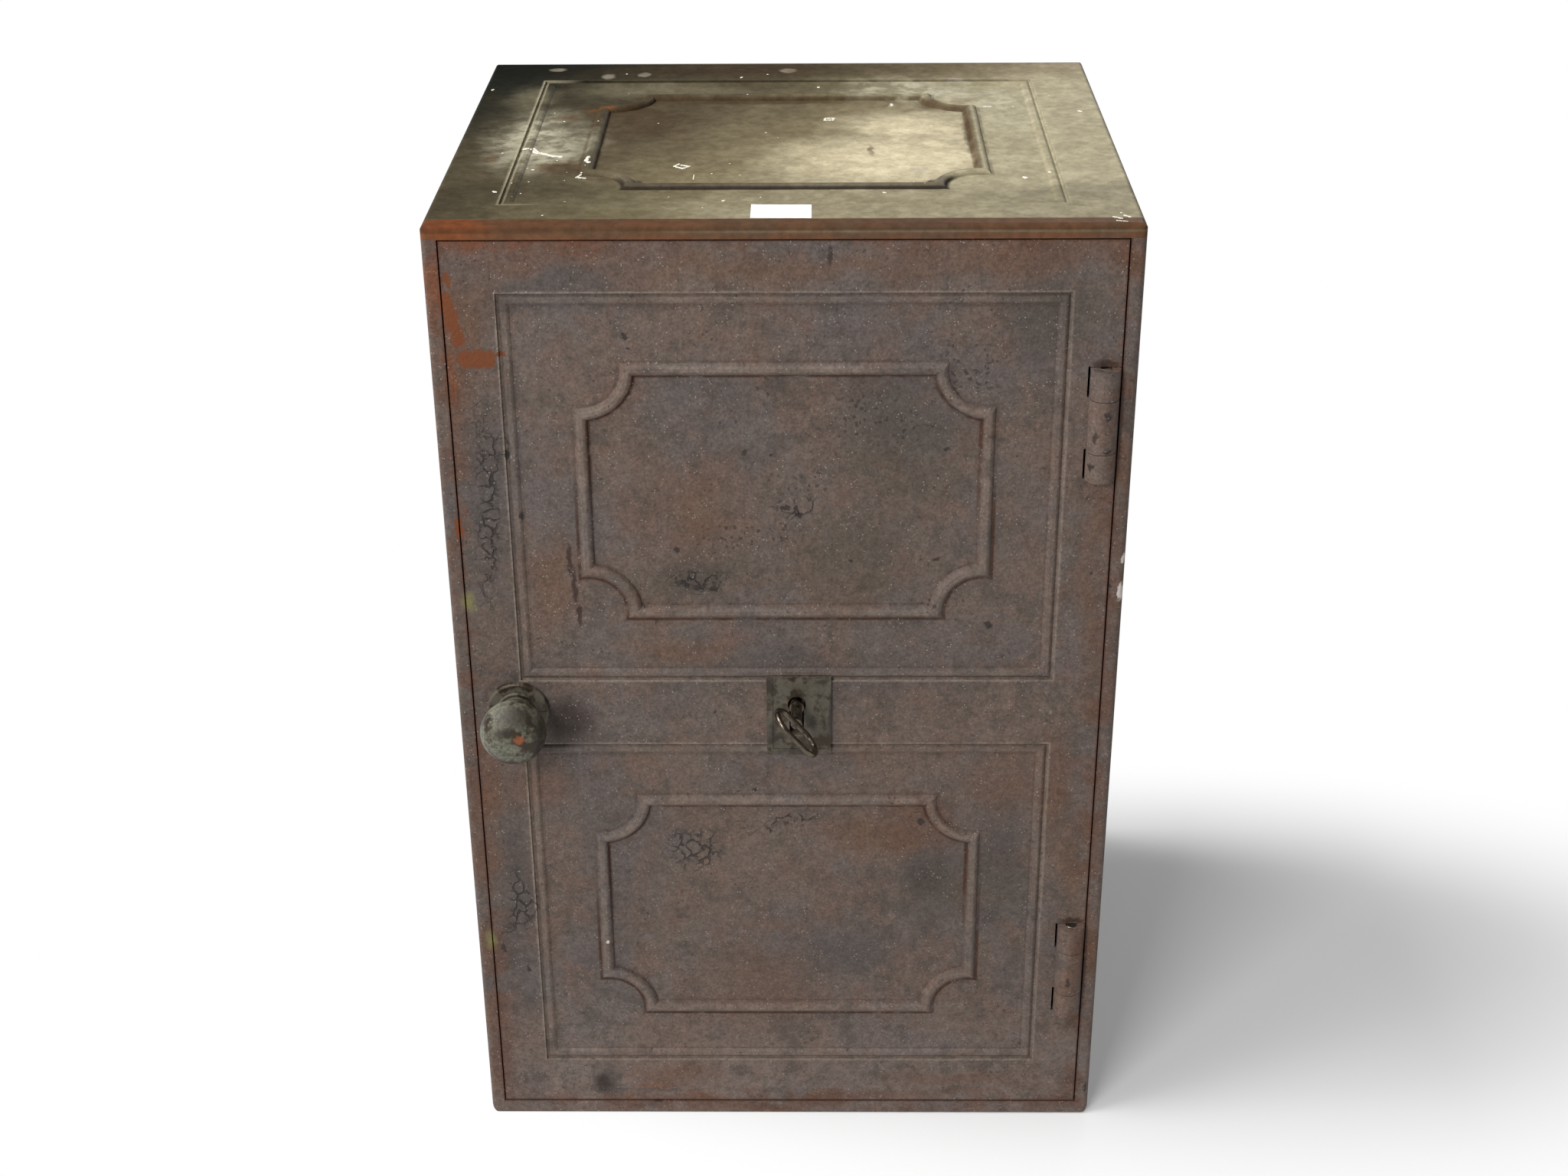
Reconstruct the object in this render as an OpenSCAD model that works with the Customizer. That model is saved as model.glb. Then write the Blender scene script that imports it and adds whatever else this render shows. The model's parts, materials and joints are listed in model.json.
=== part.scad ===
// Cast iron strong box: a case of bolted plates and one moulded door on two pin hinges.
// A knob throws two round bolts, and a key raises a lock bolt that holds them.
// X runs to the right, Y away from the front, Z up. The origin is the centre of the footprint.

/* [Case] */
// Width of the case
case_w = 450; // [420:1:560]
// Depth of the case
case_d = 390; // [320:1:500]
// Height of the case
case_h = 700; // [680:1:860]
// Thickness of the side plates
side_t = 10; // [8:0.5:14]
// Thickness of the top plate
top_t = 9; // [8:0.5:14]
// Thickness of the base plate
base_t = 12; // [10:0.5:16]
// Thickness of the back plate
back_t = 9; // [7:0.5:12]
// Radius of the outer edges
edge_r = 4; // [2:0.5:6]
// Radius of the lower corners, seen from the front
foot_r = 8; // [5:0.5:10]
// Radius of the rods that tie the top to the base
rod_r = 5; // [4:0.5:6]

/* [Door] */
// Thickness of the door plate at its rails
door_t = 9; // [8:0.5:12]
// Gap between the door and the case
door_gap = 1; // [0.6:0.1:1.5]
// Width of the stop bars behind the door
stop_w = 15; // [12:0.5:18]
// Thickness of the stop bars
stop_t = 6; // [5.5:0.5:8]
// Depth of the stiffening rib on the door's back
rib_depth = 8; // [4:0.5:8]
// Thickness of the stiffening rib
rib_t = 8; // [6:0.5:10]

/* [Mouldings] */
// Width of the plain margin beside each sunken panel, from the case's edge
stile = 44; // [40:0.5:50]
// Height of the door's bottom rail, from the floor
bottom_rail = 51.5; // [46:0.5:60]
// Height of the lock rail's centre line
lock_rail_z = 352; // [330:1:380]
// Height of the lock rail's plain face
lock_rail_h = 50.5; // [46:0.5:56]
// Depth of the sunken panels
relief = 2; // [1:0.25:2.5]
// Extra depth of the field inside each loop
field_drop = 1; // [0.5:0.25:1.5]
// Width of the bead round each panel
frame_bead_w = 7; // [5:0.5:9]
// Height of the bead round each panel
frame_bead_h = 1.6; // [1:0.2:2.2]
// Width of the bead that forms the loops
loop_bead_w = 9; // [7:0.5:11]
// Height of the bead that forms the loops
loop_bead_h = 2.6; // [1.6:0.2:3.2]
// Radius of the loops' hollow corners
loop_corner_r = 31; // [24:1:36]
// Inset of the loops from the sides of a panel
loop_inset = 49.5; // [44:0.5:56]
// Inset of the door's upper loop from the panel's top and bottom
upper_loop_inset = 52; // [46:0.5:56]
// Inset of the door's lower loop from the panel's top and bottom
lower_loop_inset = 47.5; // [44:0.5:56]
// Inset of the top plate's loop from the panel's front and back
top_loop_inset = 40.5; // [36:0.5:48]

/* [Hinges] */
// Radius of the hinge barrels
knuckle_r = 9.75; // [8.5:0.25:10]
// Length of one hinge
hinge_len = 77; // [66:1:90]
// Length of each fixed knuckle
fixed_knuckle = 20; // [16:1:24]
// Distance of the upper hinge's middle below the case's top
upper_hinge_drop = 133; // [100:1:160]
// Height of the lower hinge's middle
lower_hinge_z = 136.5; // [110:0.5:170]
// Distance of the hinge line in front of the door's face
hinge_out = 1; // [0.5:0.25:2]
// Radius of the hinge pins
hinge_pin_r = 4; // [3:0.5:5]

/* [Bolts] */
// Travel of the bolts
bolt_throw = 14; // [10:1:16]
// Radius of the round bolts
bolt_r = 7; // [6:0.5:8]
// Distance of the upper bolt below the case's top
upper_bolt_drop = 140; // [110:1:180]
// Height of the lower bolt
lower_bolt_z = 150; // [120:1:190]
// Thickness of the bolt carriage
carriage_t = 10; // [8:0.5:12]
// Width of the carriage's upright
upright_w = 22; // [18:1:26]
// Width of each bolt guide, along the bolt
guide_w = 13; // [10:1:16]

/* [Knob] */
// Distance of the knob's axis from the door's left edge
knob_inset = 30; // [28:0.5:34]
// Height of the knob's axis
knob_z = 355; // [340:1:366]
// Diameter of the knob
knob_d = 44.6; // [38:0.2:48]
// Thickness of the knob's ball, front to back
knob_t = 34; // [28:0.5:38]
// Distance of the ball's centre from the door's face
knob_out = 31; // [28:0.5:36]
// Diameter of the rose behind the knob
rose_d = 43; // [36:0.5:48]
// Radius of the spindle
spindle_r = 5; // [4:0.5:6]
// Turn of the knob from open to thrown, in degrees
knob_turn = 60; // [40:1:70]

/* [Lock] */
// Distance of the key's axis right of the middle
key_x = 7; // [0:0.5:14]
// Height of the key's axis
key_z = 359; // [350:0.5:366]
// Width of the escutcheon
plate_w = 44; // [38:0.5:50]
// Height of the escutcheon
plate_h = 60; // [56:0.5:66]
// Thickness of the escutcheon
plate_t = 2.5; // [1.5:0.25:4]
// Radius of the round part of the keyhole
keyhole_r = 6.2; // [5.6:0.1:6.6]
// Reach of the key's bit from its axis
bit_r = 20; // [18:0.5:21]
// Thickness of the key's bit
bit_t = 4.5; // [3:0.5:5]
// Travel of the lock bolt
lock_throw = 12; // [9:0.5:13]
// Turn of the key in the photographed pose, from the keyhole's slot, in degrees
key_rest_turn = 40; // [30:1:45]
// Width of the key's bow
bow_w = 43; // [36:0.5:48]
// Height of the key's bow, away from the door
bow_h = 26; // [22:0.5:30]
// Distance of the bow's centre from the door's face
bow_out = 38.5; // [34:0.5:44]

/* [Shelf] */
// Height of the shelf's upper face
shelf_z = 353; // [300:1:420]
// Thickness of the shelf
shelf_t = 3; // [2:0.5:5]
// Distance of the shelf's front edge behind the door's face
shelf_back = 55; // [50:1:90]
// Width and height of the shelf's ledges
ledge_w = 12; // [10:1:16]

/* [Hidden] */
$fn = 64;

// Colours
iron_front = [0.38, 0.34, 0.32];
iron_top = [0.36, 0.35, 0.28];
iron_inside = [0.30, 0.26, 0.24];
steel = [0.50, 0.48, 0.46];
old_brass = [0.48, 0.46, 0.36];

// Clearances
run_fit = 0.05;
slide_fit = 0.1;
loose_fit = 0.5;
stop_gap = 0.4;
cut = 1;

// The case
front_y = -case_d / 2;
back_y = case_d / 2;
inner_x = case_w / 2 - side_t;
floor_z = base_t;
ceiling_z = case_h - top_t;
plate_back_y = back_y - back_t;
rod_boss_r = rod_r + 5;
rod_boss_h = 8;
rod_x = inner_x - rod_r - 4;
rod_blind = 4;
nut_r = rod_r * 1.85;
nut_h = rod_r * 1.4;
nut_recess = nut_h + 2;
nut_clear = 2;

// The door
door_left = -inner_x + door_gap;
door_right = inner_x - door_gap;
door_bottom = floor_z + door_gap;
door_top = ceiling_z - door_gap;
door_back = front_y + door_t;
swing_r = door_t + hinge_out;
hinge_x = door_right - swing_r;
hinge_y = front_y - hinge_out;
upper_hinge_z = case_h - upper_hinge_drop;
knuckle_gap = 0.5;
notch_gap = 1.3;
web_t = 5;
web_in = 1;
stop_y = door_back + stop_gap;
stop_back = stop_y + stop_t;

// The panels of the door
bead_foot = field_drop + 0.5;
frame_bead_in = 1.5;
bead_wear = 0.15;
panel_w = case_w - 2 * stile;
upper_panel_bottom = lock_rail_z + lock_rail_h / 2;
upper_panel_top = case_h - stile;
lower_panel_top = lock_rail_z - lock_rail_h / 2;
upper_panel_h = upper_panel_top - upper_panel_bottom;
lower_panel_h = lower_panel_top - bottom_rail;
rib_clear = 13;
rib_w = panel_w - 2 * rib_t - 2 * rib_clear;
rib_x = 18;
rib_bottom = 42;
rib_top_in = 40;
rib_top = case_h - rib_top_in;

// The panels of the top and sides
top_panel_front = 43;
top_panel_back = 52;
top_panel_d = case_d - top_panel_front - top_panel_back;
top_panel_y = (top_panel_front - top_panel_back) / 2;
side_panel_w = plate_back_y - front_y - 2 * stile;
side_panel_y = (front_y + plate_back_y) / 2;
side_panel_h = case_h - stile - bottom_rail;
side_panel_z = (case_h - stile + bottom_rail) / 2;

// Small screws: radius of the shank, with a head in proportion
bar_screw_r = 1.5;
plate_screw_r = 2.5;
lock_screw_r = 1.5;
rose_screw_r = 1.2;
escutcheon_pin_r = 1;
head_ratio = 1.8;
blind_end = 0.5;
stop_screw_len = stop_w + 5;
ledge_screw_len = ledge_w + 5;
back_screw_len = back_t + 12;
shelf_screw_len = shelf_t + 6;

// The bolt work
bolt_behind_stop = 0.6;
tip_clear = 3;
guide_start = 2;
upper_bolt_z = case_h - upper_bolt_drop;
bolt_y = stop_back + bolt_behind_stop + bolt_r;
carriage_y = bolt_y - carriage_t / 2;
carriage_back = bolt_y + carriage_t / 2;
tip_x = -inner_x + stop_w + tip_clear;
guide_x = tip_x + guide_start;
upright_x = guide_x + guide_w + bolt_throw + guide_start;
tenon_r = 3;
carriage_end = 25;
guide_flange_t = 5;
guide_block = 14;
guide_flange = 12;
guide_screw_len = guide_flange_t + 4;
guide_back = bolt_y + bolt_r + 5;

// Places of the screws in the case
stop_end = 40;
back_end = 30;
ledge_end = 20;
stop_screw_z = [for (i = [0:3]) floor_z + stop_end + i * (ceiling_z - floor_z - 2 * stop_end) / 3];
back_screw_z = [for (i = [0:4]) floor_z + back_end + i * (ceiling_z - floor_z - 2 * back_end) / 4];
ledge_y0 = guide_back + 2 * rod_boss_r + 2;
ledge_y1 = plate_back_y - 2 * rod_boss_r - 2;
ledge_screw_y = [for (i = [0:2]) ledge_y0 + ledge_end + i * (ledge_y1 - ledge_y0 - 2 * ledge_end) / 2];
shelf_screw_y = [ledge_y0 + 8, ledge_y1 - 8];
stop_mid_y = stop_y + stop_t / 2;

// The crank: its stud swings the same angle to each side of the upright
knob_x = door_left + knob_inset;
crank_half = knob_turn / 2;
crank_r = bolt_throw / 2 / sin(crank_half);
crank_gap = 1.5;
crank_y = door_back + crank_gap;
crank_t = carriage_y - crank_y - crank_gap;
stud_r = 3;
stud_play = 0.35;
stud_x = knob_x + crank_r * sin(crank_half);
stud_z = knob_z + crank_r * cos(crank_half);
crank_hub_r = spindle_r + 4;
bush_r = spindle_r + 3;
rose_t = 4;
rose_screw_len = rose_t + 4;
rose_screw_in = 4;
knob_pin_r = 1.5;
crank_pin_r = 1.25;
lug_side = 7;

// The lock: the bolt stands right of the key and the carriage's tail runs over it
lock_reach_left = 31;
lock_reach_right = 47;
lock_reach_down = 33;
lock_reach_up = 31;
case_left = key_x - lock_reach_left;
case_right = key_x + lock_reach_right;
case_bottom = key_z - lock_reach_down;
case_top = key_z + lock_reach_up;
lock_wall = 3;
lock_inside_back = bolt_y + 8;
lock_cap_back = lock_inside_back + lock_wall;
post_r = 4;
post_in = 6;
ear = 12;
ear_t = 4;
ear_screw_in = 14;
ear_screw_len = ear_t + 4;
cap_screw_len = lock_wall + 7;
shank_r = 3.9;
collar_r = 4.9;
bit_d = 14;
bit_front = bolt_y + 5 - bit_d;
ward_r = 12;
ward_t = 2;
ward_h = 4;
bolt_from_key = 13.5;
bolt_left = key_x + bolt_from_key;
bolt_w = 17.5;
bolt_t = 8;
neck_w = 8;
neck_x = bolt_left + bolt_w / 2 - neck_w / 2;
talon_depth = bit_r + key_x + 0.6 - bolt_left;
talon_h = bit_r * 0.77 + bit_t;
bolt_foot_drop = 25;
bolt_foot = key_z - bolt_foot_drop;
bolt_shoulder = case_top - lock_wall - lock_throw - 1;
bolt_head = case_top + 2;
stump_r = 2.5;
stump_in = 12.5;
stump_rise = 7;
stump_x = bolt_left + stump_in;
stump_z = key_z + stump_rise;
tail_z = bolt_head + 1;
tail_h = 20;
tail_notch = lock_throw;
tail_end = neck_x + neck_w + bolt_throw + loose_fit + 8;
tail_guide_x = -90;
tail_guide_w = 20;
tail_mid_z = tail_z + tail_h / 2;
tail_guide_half = tail_h / 2 + 5;
slot_w = 10;
slot_drop = bit_r + 4;
plate_x = key_x + 1.5;
plate_z = key_z - 9;
escutcheon_pin_len = plate_t + 3;

// Helpers

// Extrudes a profile along +X: its first axis becomes Y and its second Z
module along_x(length) {
    rotate([90, 0, 90]) linear_extrude(length) children();
}

// Extrudes a profile along +Y: its first axis becomes X and its second Z
module along_y(length) {
    translate([0, length, 0]) rotate([90, 0, 0]) linear_extrude(length) children();
}

// Turns a shape that points along +Z to point another way
module to_left() {
    rotate([0, -90, 0]) children();
}
module to_right() {
    rotate([0, 90, 0]) children();
}
module to_front() {
    rotate([90, 0, 0]) children();
}
module to_back() {
    rotate([-90, 0, 0]) children();
}

// A rectangle with round corners, the lower two with their own radius
module round_rect(x0, y0, x1, y1, top_r, low_r) {
    difference() {
        translate([x0, y0]) square([x1 - x0, y1 - y0]);
        for (side = [0, 1]) {
            corner_x = side == 0 ? x0 : x1;
            inward = side == 0 ? 1 : -1;
            corner_waste(corner_x, y1, inward, -1, top_r);
            corner_waste(corner_x, y0, inward, 1, low_r);
        }
    }
}

// What a round corner leaves over of a square one
module corner_waste(x, y, dx, dy, r) {
    translate([x, y]) difference() {
        translate([dx > 0 ? -cut : -r, dy > 0 ? -cut : -r]) square(r + cut);
        translate([dx * r, dy * r]) circle(r);
    }
}

// The whole outside of the case, with every outer edge rounded
module case_envelope() {
    intersection() {
        linear_extrude(case_h) round_rect(-case_w / 2, front_y, case_w / 2, back_y, edge_r, edge_r);
        translate([0, front_y, 0]) along_y(case_d)
            round_rect(-case_w / 2, 0, case_w / 2, case_h, edge_r, foot_r);
        translate([-case_w / 2, 0, 0]) along_x(case_w)
            round_rect(front_y, 0, back_y, case_h, edge_r, edge_r / 2);
    }
}

// A slotted countersunk screw that points along +Z, its head level with zero
module slotted_screw(r, length) {
    head_r = r * head_ratio;
    difference() {
        union() {
            cylinder(h = head_r - r, r1 = head_r, r2 = r);
            cylinder(h = length, r = r);
        }
        translate([-head_r - cut, -r * 0.2, -cut]) cube([2 * (head_r + cut), r * 0.4, cut + r * 0.4]);
    }
}

// The hole for such a screw
module screw_hole(r, length) {
    head_r = r * head_ratio;
    cylinder(h = head_r - r, r1 = head_r + run_fit, r2 = r + run_fit);
    translate([0, 0, -cut]) cylinder(h = cut + 0.001, r = head_r + run_fit);
    cylinder(h = length + blind_end, r = r + run_fit);
}

// Mouldings, drawn on a face that lies at z = 0 and looks along +Z

// Radius of the arc that a bead of width w and height h shows on its ground
function arc_r(w, h) = (w * w / 4 + h * h) / (2 * h);

// Section of a mound: the outer halves of two beads and all between them, with the crests worn flat
module mound_section(half, w, h) {
    top = h - bead_wear;
    intersection() {
        union() {
            for (side = [-1, 1]) {
                translate([side * half, h - arc_r(w, h)]) circle(arc_r(w, h));
            }
            translate([-half, -bead_foot]) square([2 * half, top + bead_foot + bead_wear / 2]);
        }
        translate([-half - w, -bead_foot]) square([2 * (half + w), top + bead_foot]);
    }
}

// Section of a hollow: all between the inner halves of two beads, down to a floor
module hollow_section(half, w, h, floor) {
    difference() {
        translate([-half, floor]) square([2 * half, h - floor + cut]);
        for (side = [-1, 1]) {
            translate([side * half, h - arc_r(w, h)]) circle(arc_r(w, h));
        }
    }
}

// A mound and a hollow with four sides: x and y are half the lengths between the crests
module mound(x, y, w, h) {
    intersection() {
        translate([-x - w, 0, 0]) along_x(2 * (x + w)) mound_section(y, w, h);
        rotate([0, 0, 90]) translate([-y - w, 0, 0]) along_x(2 * (y + w)) mound_section(x, w, h);
    }
}
module hollow(x, y, w, h, floor) {
    intersection() {
        translate([-x - w, 0, 0]) along_x(2 * (x + w)) hollow_section(y, w, h, floor);
        rotate([0, 0, 90]) translate([-y - w, 0, 0]) along_x(2 * (y + w)) hollow_section(x, w, h, floor);
    }
}

// A bead round a rectangle: a mound less its hollow
module bead_frame(x, y, w, h) {
    difference() {
        mound(x, y, w, h);
        hollow(x, y, w, h, -bead_foot - cut);
    }
}

// At the four corners of a loop, turned so that the seam of a revolved form lies outside the loop
module at_corners(x, y) {
    for (sx = [-1, 1], sy = [-1, 1]) {
        translate([sx * x, sy * y, 0]) rotate([0, 0, atan2(sy, sx)]) children();
    }
}

// The loop's mound: its corners are cut back to hollow quarter rounds
module loop_mound(x, y, w, h) {
    r = loop_corner_r;
    difference() {
        mound(x, y, w, h);
        at_corners(x, y) rotate_extrude() difference() {
            translate([0, -bead_foot - cut]) square([r, h + bead_foot + 2 * cut]);
            translate([r, h - arc_r(w, h)]) circle(arc_r(w, h));
        }
    }
}

// The loop's hollow, down to the field: the bead stays round the hollow corners
module loop_hollow(x, y, w, h) {
    r = loop_corner_r;
    difference() {
        hollow(x, y, w, h, -field_drop);
        at_corners(x, y) rotate_extrude() {
            translate([0, -field_drop - cut]) square([r, h + field_drop + 3 * cut]);
            translate([r, h - arc_r(w, h)]) circle(arc_r(w, h));
        }
    }
}

// A panel in three steps: the sunken ground, the raised beads, and the field cut out of the loop
module panel_ground(w, h) {
    translate([-w / 2, -h / 2, -relief]) cube([w, h, relief + cut]);
}
module panel_beads(w, h, inset_x, inset_y) {
    edge = frame_bead_w / 2 + frame_bead_in;
    translate([0, 0, -relief]) {
        bead_frame(w / 2 - edge, h / 2 - edge, frame_bead_w, frame_bead_h);
        loop_mound(w / 2 - inset_x, h / 2 - inset_y, loop_bead_w, loop_bead_h);
    }
}
module panel_field(w, h, inset_x, inset_y) {
    translate([0, 0, -relief]) loop_hollow(w / 2 - inset_x, h / 2 - inset_y, loop_bead_w, loop_bead_h);
}

// The case's plates and fittings

// The four rods: their places, used by the base, the top, the rods and the nuts
module at_rods() {
    rod_front_y = guide_back + rod_boss_r;
    rod_back_y = plate_back_y - rod_boss_r;
    for (x = [-rod_x, rod_x], y = [rod_front_y, rod_back_y]) {
        translate([x, y, 0]) children();
    }
}

module base_plate() {
    color(iron_front) difference() {
        union() {
            intersection() {
                case_envelope();
                translate([-case_w, -case_d, 0]) cube([2 * case_w, 2 * case_d, base_t]);
            }
            at_rods() cylinder(h = base_t + rod_boss_h, r = rod_boss_r - 1);
        }
        at_rods() translate([0, 0, -cut])
            cylinder(h = base_t + rod_boss_h + 2 * cut, r = rod_r + run_fit);
        at_rods() translate([0, 0, -cut]) cylinder(h = nut_recess + cut, r = nut_r + nut_clear);
        for (x = [-0.25, 0.25] * case_w) {
            bottom_screw_place(x) screw_hole(bar_screw_r, stop_screw_len);
        }
    }
}

module at_top_panel() {
    translate([0, top_panel_y, case_h]) children();
}
module top_plate() {
    color(iron_top) difference() {
        union() {
            difference() {
                intersection() {
                    case_envelope();
                    translate([-case_w, -case_d, ceiling_z]) cube([2 * case_w, 2 * case_d, top_t]);
                }
                at_top_panel() panel_ground(panel_w, top_panel_d);
            }
            at_top_panel() panel_beads(panel_w, top_panel_d, loop_inset, top_loop_inset);
            at_rods() translate([0, 0, ceiling_z - rod_boss_h])
                cylinder(h = rod_boss_h + 1, r = rod_boss_r - 1);
        }
        at_top_panel() panel_field(panel_w, top_panel_d, loop_inset, top_loop_inset);
        at_rods() translate([0, 0, ceiling_z - rod_boss_h - cut])
            cylinder(h = rod_boss_h + cut + top_t - rod_blind, r = rod_r + run_fit);
        for (x = [-0.25, 0.25] * case_w) {
            top_screw_place(x) screw_hole(bar_screw_r, stop_screw_len);
        }
    }
}

// A side plate without its relief, between the base and the top
module side_slab(side) {
    low_x = side < 0 ? -case_w / 2 : inner_x;
    intersection() {
        case_envelope();
        translate([low_x, front_y, floor_z]) cube([side_t, plate_back_y - front_y, ceiling_z - floor_z]);
    }
}

// The screw holes that both side plates have: stop bar, ledge and back plate
module side_holes(side) {
    for (z = stop_screw_z) {
        side_screw_place(side, z) screw_hole(bar_screw_r, stop_screw_len);
    }
    for (y = ledge_screw_y) {
        ledge_screw_place(side, y) screw_hole(plate_screw_r, ledge_screw_len);
    }
    for (z = back_screw_z) {
        back_screw_place(side, z) screw_hole(plate_screw_r, back_screw_len);
    }
}

module at_side_panel(side) {
    translate([side * case_w / 2, side_panel_y, side_panel_z]) rotate([90, 0, side * 90]) children();
}

module left_side_plate() {
    color(iron_front) difference() {
        union() {
            difference() {
                side_slab(-1);
                at_side_panel(-1) panel_ground(side_panel_w, side_panel_h);
            }
            at_side_panel(-1) panel_beads(side_panel_w, side_panel_h, loop_inset, loop_inset);
        }
        at_side_panel(-1) panel_field(side_panel_w, side_panel_h, loop_inset, loop_inset);
        side_holes(-1);
    }
}

// The right side plate carries the fixed knuckles of both hinges
module right_side_plate() {
    color(iron_front) difference() {
        union() {
            difference() {
                side_slab(1);
                at_side_panel(1) panel_ground(side_panel_w, side_panel_h);
            }
            at_side_panel(1) panel_beads(side_panel_w, side_panel_h, loop_inset, loop_inset);
            for (z = [upper_hinge_z, lower_hinge_z]) {
                fixed_knuckles(z);
            }
        }
        at_side_panel(1) panel_field(side_panel_w, side_panel_h, loop_inset, loop_inset);
        side_holes(1);
        for (z = [upper_hinge_z, lower_hinge_z]) {
            translate([hinge_x, hinge_y, z - hinge_len / 2 - cut])
                cylinder(h = hinge_len + 2 * cut, r = hinge_pin_r + run_fit);
        }
    }
}

// Two knuckles with the webs that reach back behind the seam and into the side plate
module fixed_knuckles(z) {
    for (low = [z - hinge_len / 2, z + hinge_len / 2 - fixed_knuckle]) {
        translate([hinge_x, hinge_y, low]) cylinder(h = fixed_knuckle, r = knuckle_r);
        translate([hinge_x, door_back - web_t, low])
            cube([inner_x + web_in - hinge_x, web_t, fixed_knuckle]);
    }
}

module back_plate() {
    color(iron_front) difference() {
        intersection() {
            case_envelope();
            translate([-case_w, plate_back_y, floor_z])
                cube([2 * case_w, back_t, ceiling_z - floor_z]);
        }
        for (side = [-1, 1], z = back_screw_z) {
            back_screw_place(side, z) screw_hole(plate_screw_r, back_screw_len);
        }
    }
}

module tie_rods() {
    color(steel) at_rods() translate([0, 0, 1])
        cylinder(h = ceiling_z + top_t - rod_blind - 1.5, r = rod_r);
}

module tie_rod_nuts() {
    color(steel) at_rods() translate([0, 0, nut_recess - nut_h]) difference() {
        cylinder(h = nut_h, r = nut_r, $fn = 6);
        translate([0, 0, -cut]) cylinder(h = nut_h + 2 * cut, r = rod_r + run_fit);
    }
}

// Places of the screws in the case
module side_screw_place(side, z) {
    translate([side * (inner_x - stop_w), stop_mid_y, z]) rotate([0, side * 90, 0]) children();
}
module top_screw_place(x) {
    translate([x, stop_mid_y, ceiling_z - stop_w]) children();
}
module bottom_screw_place(x) {
    translate([x, stop_mid_y, floor_z + stop_w]) rotate([180, 0, 0]) children();
}
module ledge_screw_place(side, y) {
    translate([side * (inner_x - ledge_w), y, shelf_z - shelf_t - ledge_w / 2])
        rotate([0, side * 90, 0]) children();
}
module back_screw_place(side, z) {
    translate([side * (inner_x + side_t / 2), back_y, z]) to_front() children();
}

module back_plate_screws() {
    color(steel) for (side = [-1, 1], z = back_screw_z) {
        back_screw_place(side, z) slotted_screw(plate_screw_r, back_screw_len);
    }
}

module side_stop_bar(side) {
    low_x = side < 0 ? -inner_x : inner_x - stop_w;
    difference() {
        translate([low_x, stop_y, floor_z]) cube([stop_w, stop_t, ceiling_z - floor_z]);
        for (z = stop_screw_z) {
            side_screw_place(side, z) screw_hole(bar_screw_r, stop_screw_len);
        }
    }
}
module left_stop_bar() {
    color(iron_inside) side_stop_bar(-1);
}
module right_stop_bar() {
    color(iron_inside) side_stop_bar(1);
}

module top_stop_bar() {
    color(iron_inside) difference() {
        translate([-inner_x + stop_w, stop_y, ceiling_z - stop_w])
            cube([2 * (inner_x - stop_w), stop_t, stop_w]);
        for (x = [-0.25, 0.25] * case_w) {
            top_screw_place(x) screw_hole(bar_screw_r, stop_screw_len);
        }
    }
}

module bottom_stop_bar() {
    color(iron_inside) difference() {
        translate([-inner_x + stop_w, stop_y, floor_z]) cube([2 * (inner_x - stop_w), stop_t, stop_w]);
        for (x = [-0.25, 0.25] * case_w) {
            bottom_screw_place(x) screw_hole(bar_screw_r, stop_screw_len);
        }
    }
}

module stop_bar_screws() {
    color(steel) {
        for (side = [-1, 1], z = stop_screw_z) {
            side_screw_place(side, z) slotted_screw(bar_screw_r, stop_screw_len);
        }
        for (x = [-0.25, 0.25] * case_w) {
            top_screw_place(x) slotted_screw(bar_screw_r, stop_screw_len);
            bottom_screw_place(x) slotted_screw(bar_screw_r, stop_screw_len);
        }
    }
}

module shelf_ledge(side) {
    low_x = side < 0 ? -inner_x : inner_x - ledge_w;
    difference() {
        translate([low_x, ledge_y0, shelf_z - shelf_t - ledge_w])
            cube([ledge_w, ledge_y1 - ledge_y0, ledge_w]);
        for (y = ledge_screw_y) {
            ledge_screw_place(side, y) screw_hole(plate_screw_r, ledge_screw_len);
        }
        for (y = shelf_screw_y) {
            shelf_screw_place(side, y) screw_hole(bar_screw_r, shelf_screw_len);
        }
    }
}
module left_shelf_ledge() {
    color(iron_inside) shelf_ledge(-1);
}
module right_shelf_ledge() {
    color(iron_inside) shelf_ledge(1);
}

module ledge_screws() {
    color(steel) for (side = [-1, 1], y = ledge_screw_y) {
        ledge_screw_place(side, y) slotted_screw(plate_screw_r, ledge_screw_len);
    }
}

module shelf_screw_place(side, y) {
    translate([side * (inner_x - ledge_w / 2), y, shelf_z]) rotate([180, 0, 0]) children();
}

// The shelf is a sheet with a turned-down front lip, notched round the rods
module shelf() {
    lip = 12;
    shelf_gap = 2;
    shelf_front = front_y + shelf_back;
    shelf_half = inner_x - shelf_gap;
    color(iron_inside) difference() {
        union() {
            translate([-shelf_half, shelf_front, shelf_z - shelf_t])
                cube([2 * shelf_half, plate_back_y - shelf_gap - shelf_front, shelf_t]);
            translate([-inner_x + 2 * rod_boss_r, shelf_front, shelf_z - lip])
                cube([2 * inner_x - 4 * rod_boss_r, shelf_t, lip]);
        }
        for (sx = [-1, 1]) {
            notch_x = sx < 0 ? -case_w / 2 : inner_x - 2 * rod_boss_r;
            translate([notch_x, ledge_y1 + 1, shelf_z - shelf_t - cut])
                cube([2 * rod_boss_r + side_t, case_d, shelf_t + 2 * cut]);
            translate([notch_x, front_y, shelf_z - shelf_t - cut])
                cube([2 * rod_boss_r + side_t, ledge_y0 - 1 - front_y, shelf_t + 2 * cut]);
        }
        for (side = [-1, 1], y = shelf_screw_y) {
            shelf_screw_place(side, y) screw_hole(bar_screw_r, shelf_screw_len);
        }
    }
}

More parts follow.
